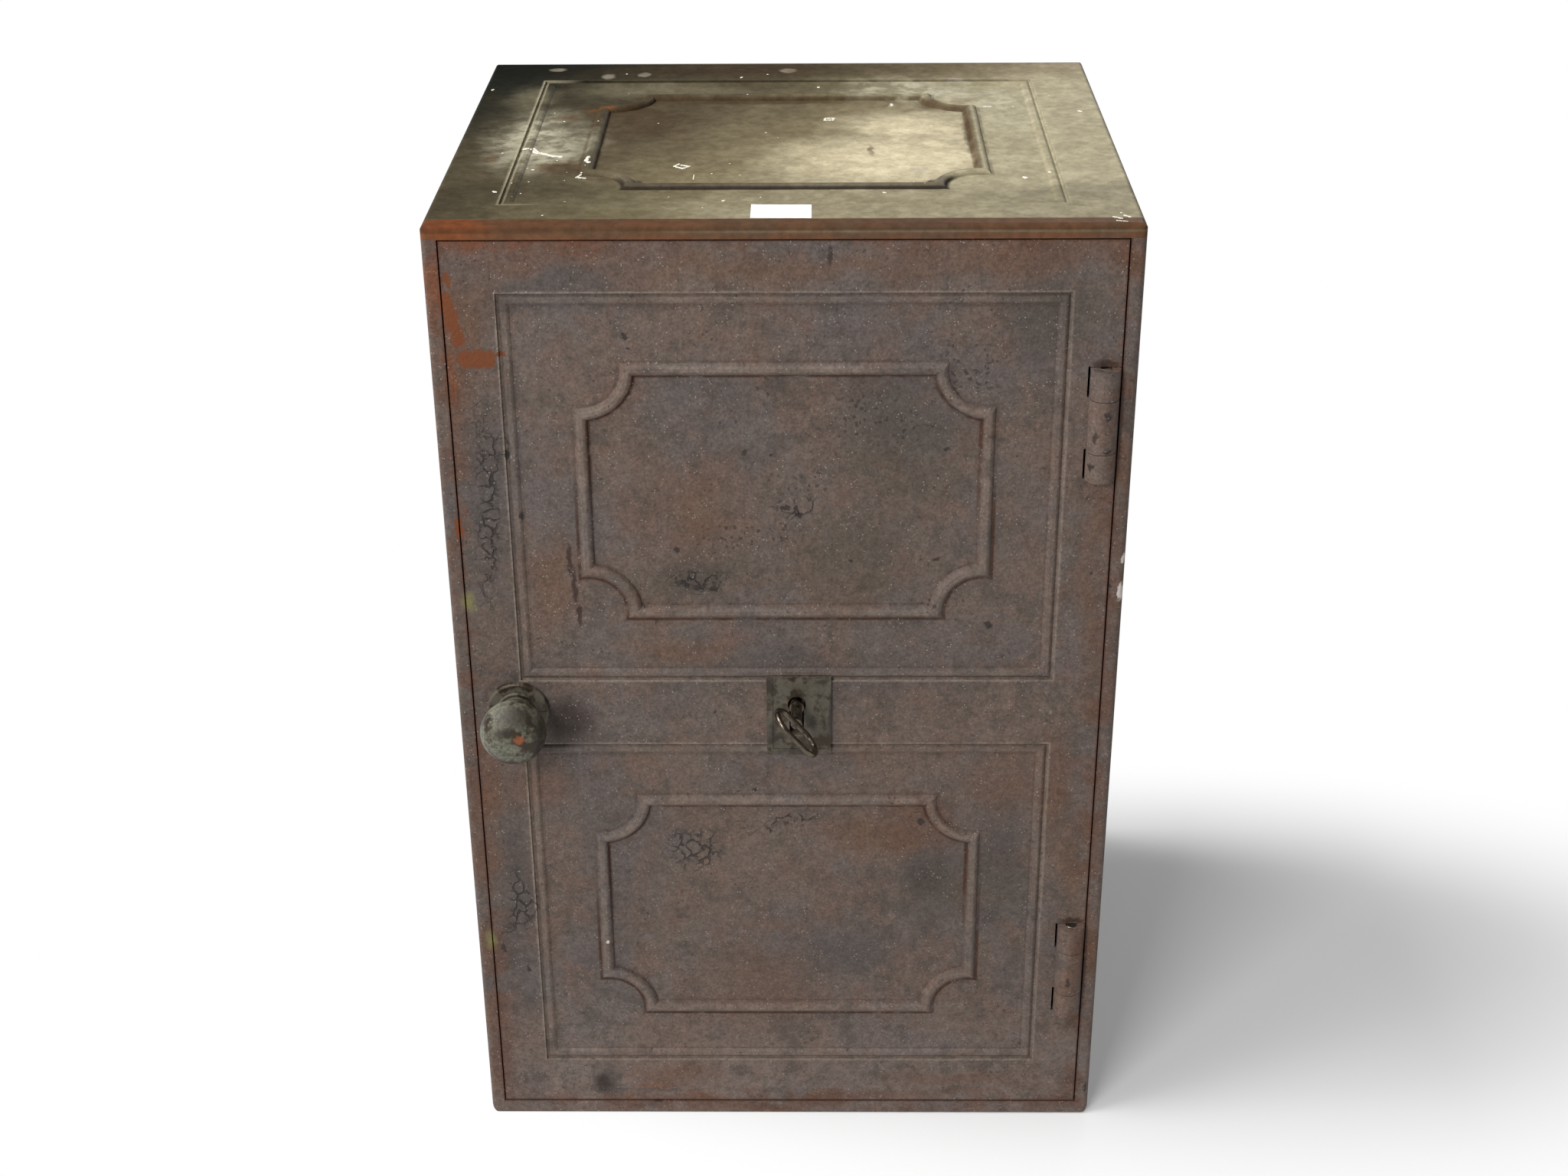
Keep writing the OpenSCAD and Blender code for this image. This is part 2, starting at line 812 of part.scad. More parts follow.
module shelf_screws() {
    color(steel) for (side = [-1, 1], y = shelf_screw_y) {
        shelf_screw_place(side, y) slotted_screw(bar_screw_r, shelf_screw_len);
    }
}

// A pin through three knuckles, with chamfered ends level with the outer two
module hinge_pin(z) {
    chamfer = 0.6;
    low = z - hinge_len / 2;
    translate([hinge_x, hinge_y, low]) {
        cylinder(h = chamfer, r1 = hinge_pin_r - chamfer, r2 = hinge_pin_r);
        translate([0, 0, chamfer]) cylinder(h = hinge_len - 2 * chamfer, r = hinge_pin_r);
        translate([0, 0, hinge_len - chamfer])
            cylinder(h = chamfer, r1 = hinge_pin_r, r2 = hinge_pin_r - chamfer);
    }
}
module upper_hinge_pin() {
    color(steel) hinge_pin(upper_hinge_z);
}
module lower_hinge_pin() {
    color(steel) hinge_pin(lower_hinge_z);
}

// The door and what is fixed to it

// Plan of the door plate: its hinge edge is an arc about the hinge line
module door_plan() {
    translate([door_left, front_y]) square([hinge_x - door_left, door_t]);
    intersection() {
        translate([hinge_x, hinge_y]) circle(swing_r);
        translate([hinge_x - 1, front_y]) square([2 * swing_r, door_t]);
    }
}

// Keyhole seen from the front: a round top with a straight slot below
module keyhole_shape() {
    translate([key_x, key_z]) circle(keyhole_r);
    translate([key_x - slot_w / 2, key_z - slot_drop]) square([slot_w, slot_drop]);
}

// Room for the fixed knuckles in the door's edge
module knuckle_notches(z) {
    notch_x = hinge_x - knuckle_r - notch_gap;
    for (low = [z - hinge_len / 2, z + hinge_len / 2 - fixed_knuckle]) {
        translate([notch_x, front_y - cut, low - knuckle_gap])
            cube([case_w, door_t + 2 * cut, fixed_knuckle + 2 * knuckle_gap]);
    }
}

// The knuckle that is cast in one with the door
module door_knuckle(z) {
    half = hinge_len / 2 - fixed_knuckle - knuckle_gap;
    translate([hinge_x, hinge_y, z - half]) cylinder(h = 2 * half, r = knuckle_r);
}

module at_upper_panel() {
    translate([0, front_y, (upper_panel_top + upper_panel_bottom) / 2]) to_front() children();
}
module at_lower_panel() {
    translate([0, front_y, (lower_panel_top + bottom_rail) / 2]) to_front() children();
}

// A rectangular rib on the door's back
module door_rib() {
    left = -rib_w / 2 + rib_x;
    translate([left, door_back - 1, rib_bottom]) difference() {
        cube([rib_w, rib_depth + 1, rib_top - rib_bottom]);
        translate([rib_t, -cut, rib_t])
            cube([rib_w - 2 * rib_t, rib_depth + 1 + 2 * cut, rib_top - rib_bottom - 2 * rib_t]);
    }
}

module door_plate() {
    color(iron_front) difference() {
        union() {
            difference() {
                translate([0, 0, door_bottom]) linear_extrude(door_top - door_bottom) door_plan();
                at_upper_panel() panel_ground(panel_w, upper_panel_h);
                at_lower_panel() panel_ground(panel_w, lower_panel_h);
                knuckle_notches(upper_hinge_z);
                knuckle_notches(lower_hinge_z);
            }
            at_upper_panel() panel_beads(panel_w, upper_panel_h, loop_inset, upper_loop_inset);
            at_lower_panel() panel_beads(panel_w, lower_panel_h, loop_inset, lower_loop_inset);
            door_rib();
            door_knuckle(upper_hinge_z);
            door_knuckle(lower_hinge_z);
            translate([knob_x, front_y, knob_z]) to_back() cylinder(h = door_t, r = rose_d / 2);
            translate([plate_x - plate_w / 2, front_y, plate_z - plate_h / 2])
                cube([plate_w, door_t, plate_h]);
        }
        at_upper_panel() panel_field(panel_w, upper_panel_h, loop_inset, upper_loop_inset);
        at_lower_panel() panel_field(panel_w, lower_panel_h, loop_inset, lower_loop_inset);
        for (z = [upper_hinge_z, lower_hinge_z]) {
            translate([hinge_x, hinge_y, z - hinge_len / 2])
                cylinder(h = hinge_len, r = hinge_pin_r + run_fit);
        }
        translate([0, front_y - cut, 0]) along_y(door_t + 2 * cut) keyhole_shape();
        translate([knob_x, front_y - cut, knob_z]) to_back()
            cylinder(h = door_t + 2 * cut, r = bush_r);
        guide_screw_holes();
        at_lock_ears() screw_hole(lock_screw_r, ear_screw_len);
        at_rose_screws() screw_hole(rose_screw_r, rose_screw_len);
        at_escutcheon_pins() cylinder(h = escutcheon_pin_len + blind_end, r = escutcheon_pin_r + run_fit);
    }
}

// The escutcheon: a bordered plate over the keyhole
module escutcheon() {
    border = 4;
    step = 0.8;
    color(old_brass) difference() {
        translate([plate_x - plate_w / 2, front_y - plate_t, plate_z - plate_h / 2])
            cube([plate_w, plate_t, plate_h]);
        translate([plate_x - plate_w / 2 + border, front_y - plate_t - cut, plate_z - plate_h / 2 + border])
            cube([plate_w - 2 * border, step + cut, plate_h - 2 * border]);
        translate([0, front_y - plate_t - cut, 0]) along_y(plate_t + 2 * cut) keyhole_shape();
        at_escutcheon_pins() translate([0, 0, -cut])
            cylinder(h = plate_t + 2 * cut, r = escutcheon_pin_r + run_fit);
    }
}

module at_escutcheon_pins() {
    pin_in = 2;
    half_w = plate_w / 2 - pin_in;
    half_h = plate_h / 2 - pin_in;
    for (x = [plate_x - half_w, plate_x + half_w], z = [plate_z - half_h, plate_z + half_h]) {
        translate([x, front_y - plate_t, z]) to_back() children();
    }
}
module escutcheon_pins() {
    color(old_brass) at_escutcheon_pins() cylinder(h = escutcheon_pin_len, r = escutcheon_pin_r);
}

// The rose: a turned disc with a round edge and a raised ring
module knob_rose() {
    edge = rose_t / 2;
    ring_r = 1.3;
    ring_in = 8;
    color(old_brass) difference() {
        translate([knob_x, front_y, knob_z]) to_front() rotate_extrude() difference() {
            union() {
                square([rose_d / 2 - edge, rose_t]);
                square([rose_d / 2, edge]);
                translate([rose_d / 2 - edge, edge]) circle(edge);
                translate([rose_d / 2 - ring_in, rose_t - 0.5]) circle(ring_r);
            }
            translate([-cut, -cut]) square([cut + spindle_r + run_fit, rose_t + 2 * cut]);
            translate([0, -2 * cut]) square([rose_d, 2 * cut]);
        }
        at_rose_screws() screw_hole(rose_screw_r, rose_screw_len);
    }
}
module at_rose_screws() {
    for (sx = [-1, 1]) {
        translate([knob_x + sx * (rose_d / 2 - rose_screw_in), front_y - rose_t, knob_z])
            to_back() children();
    }
}
module rose_screws() {
    color(old_brass) at_rose_screws() slotted_screw(rose_screw_r, rose_screw_len);
}

module spindle_bush() {
    color(old_brass) translate([knob_x, front_y, knob_z]) to_back() difference() {
        cylinder(h = door_t, r = bush_r);
        translate([0, 0, -cut]) cylinder(h = door_t + 2 * cut, r = spindle_r + run_fit);
    }
}

// A guide: a block on a flange, at a height z, over a sliding piece of half height h
module guide_block_shape(x, w, z, half, back) {
    translate([x, door_back, z - half]) cube([w, back - door_back, 2 * half]);
    translate([x, door_back, z - half - guide_flange]) cube([w, guide_flange_t, 2 * (half + guide_flange)]);
}
module guide_screw_place(x, w, z, half) {
    for (side = [-1, 1]) {
        translate([x + w / 2, door_back + guide_flange_t, z + side * (half + guide_flange / 2)])
            to_front() children();
    }
}
module all_guide_screw_places() {
    guide_screw_place(guide_x, guide_w, upper_bolt_z, guide_block) children();
    guide_screw_place(guide_x, guide_w, lower_bolt_z, guide_block) children();
    guide_screw_place(tail_guide_x, tail_guide_w, tail_mid_z, tail_guide_half) children();
}
module guide_screw_holes() {
    all_guide_screw_places() screw_hole(lock_screw_r, guide_screw_len);
}

module bolt_guide(z) {
    difference() {
        guide_block_shape(guide_x, guide_w, z, guide_block, guide_back);
        translate([guide_x - cut, bolt_y, z]) to_right()
            cylinder(h = guide_w + 2 * cut, r = bolt_r + run_fit);
        guide_screw_place(guide_x, guide_w, z, guide_block) screw_hole(lock_screw_r, guide_screw_len);
    }
}
module upper_bolt_guide() {
    color(iron_inside) bolt_guide(upper_bolt_z);
}
module lower_bolt_guide() {
    color(iron_inside) bolt_guide(lower_bolt_z);
}

module tail_guide() {
    color(iron_inside) difference() {
        guide_block_shape(tail_guide_x, tail_guide_w, tail_mid_z, tail_guide_half, carriage_back + 5);
        translate([tail_guide_x - cut, carriage_y - slide_fit, tail_z - slide_fit])
            cube([tail_guide_w + 2 * cut, carriage_t + 2 * slide_fit, tail_h + 2 * slide_fit]);
        guide_screw_place(tail_guide_x, tail_guide_w, tail_mid_z, tail_guide_half)
            screw_hole(lock_screw_r, guide_screw_len);
    }
}

module guide_screws() {
    color(steel) all_guide_screw_places() slotted_screw(lock_screw_r, guide_screw_len);
}

// The lock

module at_posts(y) {
    for (x = [case_left + post_in, case_right - post_in], z = [case_bottom + post_in, case_top - post_in]) {
        translate([x, y, z]) children();
    }
}
module at_lock_posts() {
    at_posts(lock_cap_back) to_front() children();
}
module at_lock_ears() {
    for (x = [case_left - ear / 2, case_right + ear / 2], z = [case_bottom + ear_screw_in, case_top - ear_screw_in]) {
        translate([x, door_back + ear_t, z]) to_front() children();
    }
}

module lock_case() {
    inside_front = door_back + lock_wall;
    inside_w = case_right - case_left - 2 * lock_wall;
    inside_h = case_top - case_bottom - 2 * lock_wall;
    ear_low = 6;
    color(iron_inside) difference() {
        union() {
            difference() {
                union() {
                    translate([case_left, door_back, case_bottom])
                        cube([case_right - case_left, lock_inside_back - door_back, case_top - case_bottom]);
                    translate([case_left - ear, door_back, case_bottom + ear_low])
                        cube([case_right - case_left + 2 * ear, ear_t, case_top - case_bottom - 2 * ear_low]);
                }
                translate([case_left + lock_wall, inside_front, case_bottom + lock_wall])
                    cube([inside_w, case_d, inside_h]);
            }
            at_posts(inside_front - 1) to_back()
                cylinder(h = lock_inside_back - inside_front + 1, r = post_r);
            translate([key_x, inside_front - 1, key_z]) to_back() rotate([0, 0, 120])
                rotate_extrude(angle = 300) translate([ward_r - ward_t / 2, 0]) square([ward_t, ward_h + 1]);
        }
        translate([0, door_back - cut, 0]) along_y(lock_wall + 2 * cut) keyhole_shape();
        translate([neck_x - slide_fit, bolt_y - bolt_t / 2 - slide_fit, case_top - lock_wall - cut])
            cube([neck_w + 2 * slide_fit, bolt_t + 2 * slide_fit, lock_wall + 2 * cut]);
        at_lock_posts() screw_hole(lock_screw_r, cap_screw_len);
        at_lock_ears() screw_hole(lock_screw_r, ear_screw_len);
    }
}

module lock_cap() {
    color(iron_inside) difference() {
        translate([case_left, lock_inside_back, case_bottom])
            cube([case_right - case_left, lock_wall, case_top - case_bottom]);
        translate([key_x, lock_inside_back - cut, key_z]) to_back()
            cylinder(h = lock_wall + 2 * cut, r = shank_r + run_fit);
        at_lock_posts() screw_hole(lock_screw_r, cap_screw_len);
    }
}

module lock_cap_screws() {
    color(steel) at_lock_posts() slotted_screw(lock_screw_r, cap_screw_len);
}
module lock_fixing_screws() {
    color(steel) at_lock_ears() slotted_screw(lock_screw_r, ear_screw_len);
}

// The stump that guides the lock bolt's slot
module lock_stump() {
    front = door_back + lock_wall;
    color(steel) translate([stump_x, front, stump_z]) to_back()
        cylinder(h = lock_inside_back - front, r = stump_r);
}

// A bowed leaf spring between the lock bolt and the case wall
module lock_spring() {
    leaf_t = 0.8;
    leaf_gap = 0.3;
    wall_x = case_right - lock_wall;
    bolt_right = bolt_left + bolt_w;
    reach = wall_x - bolt_right - leaf_gap;
    half = 16;
    r = (half * half + reach * reach) / (2 * reach);
    color(steel) translate([0, bolt_y - bolt_t / 2, 0]) along_y(bolt_t) intersection() {
        translate([bolt_right + leaf_gap + r, key_z - 1]) difference() {
            circle(r, $fn = 128);
            circle(r - leaf_t, $fn = 128);
        }
        translate([bolt_right, key_z - 1 - half]) square([wall_x - bolt_right, 2 * half]);
    }
}

// The lock bolt: a talon for the key's bit, a slot for the stump, a neck through the case
module lock_bolt() {
    talon_z = key_z - lock_throw / 2;
    slot_r = stump_r + slide_fit;
    color(steel) difference() {
        translate([0, bolt_y - bolt_t / 2, 0]) {
            translate([bolt_left, 0, bolt_foot]) cube([bolt_w, bolt_t, bolt_shoulder - bolt_foot]);
            translate([neck_x, 0, bolt_foot]) cube([neck_w, bolt_t, bolt_head - bolt_foot]);
        }
        translate([bolt_left - cut, bolt_y - bolt_t, talon_z - talon_h / 2])
            cube([talon_depth + cut, 2 * bolt_t, talon_h]);
        for (z = [stump_z - lock_throw, stump_z]) {
            translate([stump_x, bolt_y - bolt_t, z]) to_back() cylinder(h = 2 * bolt_t, r = slot_r);
        }
        translate([stump_x - slot_r, bolt_y - bolt_t, stump_z - lock_throw])
            cube([2 * slot_r, 2 * bolt_t, lock_throw]);
    }
}

// The key, drawn with its bit down and then turned: the bow is a ring of round bar
module key() {
    bar_r = 2;
    bow_r = bow_h / 2 - bar_r;
    bow_straight = bow_w / 2 - bow_h / 2;
    bow_y = front_y - bow_out;
    shank_front = bow_y + bow_h / 2 - bar_r;
    shank_end = lock_cap_back - 0.5;
    collar_t = 4;
    collar_front = front_y - plate_t - 3.5;
    color(steel) translate([key_x, 0, key_z]) rotate([0, -key_rest_turn, 0]) {
        translate([0, shank_front, 0]) to_back() cylinder(h = shank_end - shank_front, r = shank_r);
        translate([0, collar_front, 0]) to_back() cylinder(h = collar_t, r = collar_r);
        difference() {
            translate([-bit_t / 2, bit_front, -bit_r]) cube([bit_t, bit_d, bit_r]);
            translate([-bit_t, bit_front - cut, -ward_r - ward_t])
                cube([2 * bit_t, ward_h + cut, 2 * ward_t]);
        }
        for (side = [-1, 1]) {
            translate([0, bow_y, side * bow_straight]) rotate([0, 90, 0])
                rotate([0, 0, side > 0 ? 90 : -90]) rotate_extrude(angle = 180)
                translate([bow_r, 0]) circle(bar_r);
            translate([0, bow_y + side * bow_r, -bow_straight]) cylinder(h = 2 * bow_straight, r = bar_r);
        }
    }
}

// The knob and its crank

// The knob: a neck and a flattened ball, turned in one
module knob() {
    ball_r = knob_t / 2;
    ball_in = knob_d / 2 - ball_r;
    neck_start = rose_t + 0.3;
    neck_r = 10;
    shoulder_r = 12;
    shoulder_t = 3;
    color(old_brass) difference() {
        translate([knob_x, front_y, knob_z]) to_front() rotate_extrude() difference() {
            union() {
                translate([ball_in, knob_out]) circle(ball_r);
                translate([0, knob_out - ball_r]) square([ball_in, knob_t]);
                translate([0, neck_start]) square([neck_r, knob_out - neck_start]);
                translate([0, neck_start]) square([shoulder_r, shoulder_t]);
            }
            translate([0, neck_start - cut]) square([spindle_r + run_fit, knob_out - neck_start + cut]);
            translate([-case_w, 0]) square([case_w, case_w]);
        }
        at_knob_pin() translate([0, 0, -knob_d]) cylinder(h = 2 * knob_d, r = knob_pin_r + run_fit);
    }
}

module at_knob_pin() {
    translate([knob_x, front_y - rose_t - 6.5, knob_z]) rotate([0, 90, 0]) children();
}
module knob_pin() {
    half = 10;
    color(steel) at_knob_pin() translate([0, 0, -half]) cylinder(h = 2 * half, r = knob_pin_r);
}

module knob_spindle() {
    front = front_y - knob_out + 0.5;
    color(steel) difference() {
        translate([knob_x, front, knob_z]) to_back()
            cylinder(h = crank_y + crank_t - front, r = spindle_r);
        at_knob_pin() translate([0, 0, -knob_d]) cylinder(h = 2 * knob_d, r = knob_pin_r + run_fit);
        at_crank_pin() translate([0, 0, -knob_d]) cylinder(h = 2 * knob_d, r = crank_pin_r + run_fit);
    }
}

module at_crank_pin() {
    translate([knob_x, crank_y + crank_t / 2, knob_z]) rotate([0, 90, 0]) children();
}
module crank_pin() {
    half = crank_hub_r - 0.5;
    color(steel) at_crank_pin() translate([0, 0, -half]) cylinder(h = 2 * half, r = crank_pin_r);
}

// The arm on the spindle's end, with an eye for the stud
module crank_arm() {
    web = 10;
    eye = 3;
    color(iron_inside) difference() {
        translate([0, crank_y, 0]) along_y(crank_t) difference() {
            union() {
                translate([knob_x, knob_z]) circle(crank_hub_r);
                translate([stud_x, stud_z]) circle(stud_r + eye);
                translate([knob_x, knob_z]) rotate(-crank_half)
                    translate([-web / 2, 0]) square([web, crank_r]);
            }
            translate([knob_x, knob_z]) circle(spindle_r + run_fit);
            translate([stud_x, stud_z]) circle(stud_r + run_fit);
        }
        at_crank_pin() translate([0, 0, -knob_d]) cylinder(h = 2 * knob_d, r = crank_pin_r + run_fit);
    }
}

module crank_stud() {
    color(steel) translate([stud_x, crank_y, stud_z]) to_back()
        cylinder(h = carriage_back - crank_y + 1, r = stud_r);
}

// The carriage: an upright, a lug with the crank's slot, and a tail notched over the lock bolt
module bolt_carriage() {
    slot_low = stud_z;
    slot_high = knob_z + crank_r;
    half = stud_r + stud_play;
    lug_left = stud_x - half - lug_side;
    lug_low = slot_low - half - lug_side;
    color(iron_inside) difference() {
        union() {
            translate([upright_x, carriage_y, lower_bolt_z - carriage_end])
                cube([upright_w, carriage_t, upper_bolt_z - lower_bolt_z + 2 * carriage_end]);
            translate([lug_left, carriage_y, lug_low])
                cube([upright_x - lug_left + 1, carriage_t, slot_high + half + lug_side - lug_low]);
            translate([upright_x, carriage_y, tail_z]) cube([tail_end - upright_x, carriage_t, tail_h]);
        }
        for (z = [slot_low, slot_high]) {
            translate([stud_x, carriage_y - cut, z]) to_back() cylinder(h = carriage_t + 2 * cut, r = half);
        }
        translate([stud_x - half, carriage_y - cut, slot_low])
            cube([2 * half, carriage_t + 2 * cut, slot_high - slot_low]);
        for (x = [neck_x, neck_x + bolt_throw]) {
            translate([x - loose_fit, carriage_y - cut, tail_z - cut])
                cube([neck_w + 2 * loose_fit, carriage_t + 2 * cut, tail_notch + cut]);
        }
        for (z = [upper_bolt_z, lower_bolt_z]) {
            translate([upright_x - cut, bolt_y, z]) to_right()
                cylinder(h = upright_w + 2 * cut, r = tenon_r + run_fit);
        }
    }
}

// A round bolt with a chamfered nose and a tenon through the upright
module round_bolt(z) {
    nose = 1.5;
    translate([tip_x, bolt_y, z]) to_right() {
        cylinder(h = nose, r1 = bolt_r - nose, r2 = bolt_r);
        translate([0, 0, nose]) cylinder(h = upright_x - tip_x - nose, r = bolt_r);
        cylinder(h = upright_x - tip_x + upright_w, r = tenon_r);
    }
}
module upper_bolt() {
    color(steel) round_bolt(upper_bolt_z);
}
module lower_bolt() {
    color(steel) round_bolt(lower_bolt_z);
}

base_plate();
left_side_plate();
right_side_plate();
back_plate();
top_plate();
tie_rods();
tie_rod_nuts();
back_plate_screws();
left_stop_bar();
right_stop_bar();
top_stop_bar();
bottom_stop_bar();
stop_bar_screws();
left_shelf_ledge();
right_shelf_ledge();
ledge_screws();
shelf();
shelf_screws();
upper_hinge_pin();
lower_hinge_pin();
door_plate();
escutcheon();
escutcheon_pins();
knob_rose();
rose_screws();
spindle_bush();
upper_bolt_guide();
lower_bolt_guide();
tail_guide();
guide_screws();
lock_case();
lock_cap();
lock_cap_screws();
lock_fixing_screws();
lock_stump();
lock_spring();
knob();
knob_pin();
knob_spindle();
crank_arm();
crank_stud();
crank_pin();
bolt_carriage();
upper_bolt();
lower_bolt();
key();
lock_bolt();
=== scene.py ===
# %% [markdown]
# # An old cast iron strong box
#
# This lesson dresses a finished model of a strong box: a plain iron case with a moulded door. The
# shapes are already there as solids, so the work here is nearly all finish. Old paint over cast iron is
# never one colour. It is thin on the edges, rusty along every crease and cracked where damp got in. On
# the top, wet tins, candle wax and paint have stood and dripped for eighty years.
#
# The first cell loads the solids. They stay as they are, and everything else is placed from them.

# %% Load the solids
import json
import math

import bpy
from mathutils import Matrix, Vector


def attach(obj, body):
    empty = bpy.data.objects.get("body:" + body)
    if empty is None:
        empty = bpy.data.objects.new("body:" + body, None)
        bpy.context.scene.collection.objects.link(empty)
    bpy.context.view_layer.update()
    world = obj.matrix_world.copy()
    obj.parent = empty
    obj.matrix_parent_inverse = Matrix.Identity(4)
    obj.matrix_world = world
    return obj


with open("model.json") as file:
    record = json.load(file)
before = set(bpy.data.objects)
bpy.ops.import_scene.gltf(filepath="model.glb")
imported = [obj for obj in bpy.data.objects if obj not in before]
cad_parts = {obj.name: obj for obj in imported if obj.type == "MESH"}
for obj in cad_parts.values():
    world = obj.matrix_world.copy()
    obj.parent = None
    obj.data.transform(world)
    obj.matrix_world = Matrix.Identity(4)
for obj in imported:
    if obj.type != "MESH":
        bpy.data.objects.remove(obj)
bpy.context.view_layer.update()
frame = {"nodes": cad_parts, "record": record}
nodes = frame["nodes"]

# %% [markdown]
# ## The camera
#
# A photograph can be matched by eye, but a box makes it easy to do by calculation: its straight edges
# give the place, the direction and the lens of the camera. The last three vectors below are the
# camera's own right, down and forward directions. Blender's camera looks along its -Z with +Y up, so
# down and forward change sign.

# %% Place the camera
SIGHT_PX = 2976.312
FRAME_PX = 2048
SENSOR_MM = 36
FAR_CLIP = 60
camera_place = Vector((0.0174453, -1.5423405, 1.1495201))
camera_right = Vector((0.9999248846, 0.0102363577, -0.0067410779))
camera_down = Vector((-0.0012531487, -0.4617285774, -0.8870203777))
camera_forward = Vector((-0.0121924062, 0.8869621964, -0.4616810668))

camera_data = bpy.data.cameras.new("camera")
camera_data.sensor_width = SENSOR_MM
camera_data.lens = SIGHT_PX * SENSOR_MM / FRAME_PX
camera_data.clip_end = FAR_CLIP
camera = bpy.data.objects.new("camera", camera_data)
turn = Matrix((camera_right, -camera_down, -camera_forward)).transposed().to_4x4()
camera.matrix_world = Matrix.Translation(camera_place) @ turn
bpy.context.scene.collection.objects.link(camera)
bpy.context.scene.camera = camera
print("lens: %.1f mm" % camera_data.lens)

# %% [markdown]
# ## Shader maths as sums
#
# A node tree drawn by hand soon turns into a ball of wool. The small class below wraps one socket, so
# that `1 - mask * 0.5` adds the Math nodes for us and reads like the sum it is.

# %% A socket that does sums
class Value:
    """One output of a node, which can be added, subtracted and multiplied."""

    def __init__(self, finish, socket):
        self.finish = finish
        self.socket = socket

    def sum(self, operation, first, second):
        return self.finish.node("ShaderNodeMath", {"operation": operation}, {0: first, 1: second})

    def __add__(self, other):
        return self.sum("ADD", self, other)

    def __sub__(self, other):
        return self.sum("SUBTRACT", self, other)

    def __rsub__(self, other):
        return self.sum("SUBTRACT", other, self)

    def __mul__(self, other):
        return self.sum("MULTIPLY", self, other)


# %% [markdown]
# ## A finish is a recipe
#
# The `Finish` class holds one material. Its `node` method adds any node: first the settings, then the
# values or links of its sockets. The other methods are the marks that an old surface carries: cloudy
# stains, specks, cracks, and spots at known places. `coat` lays a colour over all that is there and
# `shade` darkens it, as a painter builds up a surface. Places are given in millimetres, because that is
# how a restorer would note them down.

# %% The recipe class
def srgb(red, green, blue):
    """A colour as it is seen on a screen, 0 to 255, as the linear colour that Blender works with."""
    shares = [channel / 255 for channel in (red, green, blue)]
    linear = [s / 12.92 if s <= 0.04045 else ((s + 0.055) / 1.055) ** 2.4 for s in shares]
    return (*linear, 1)


SEED_STEP = Vector((371, 173, 97))
MM_PER_METRE = 1000


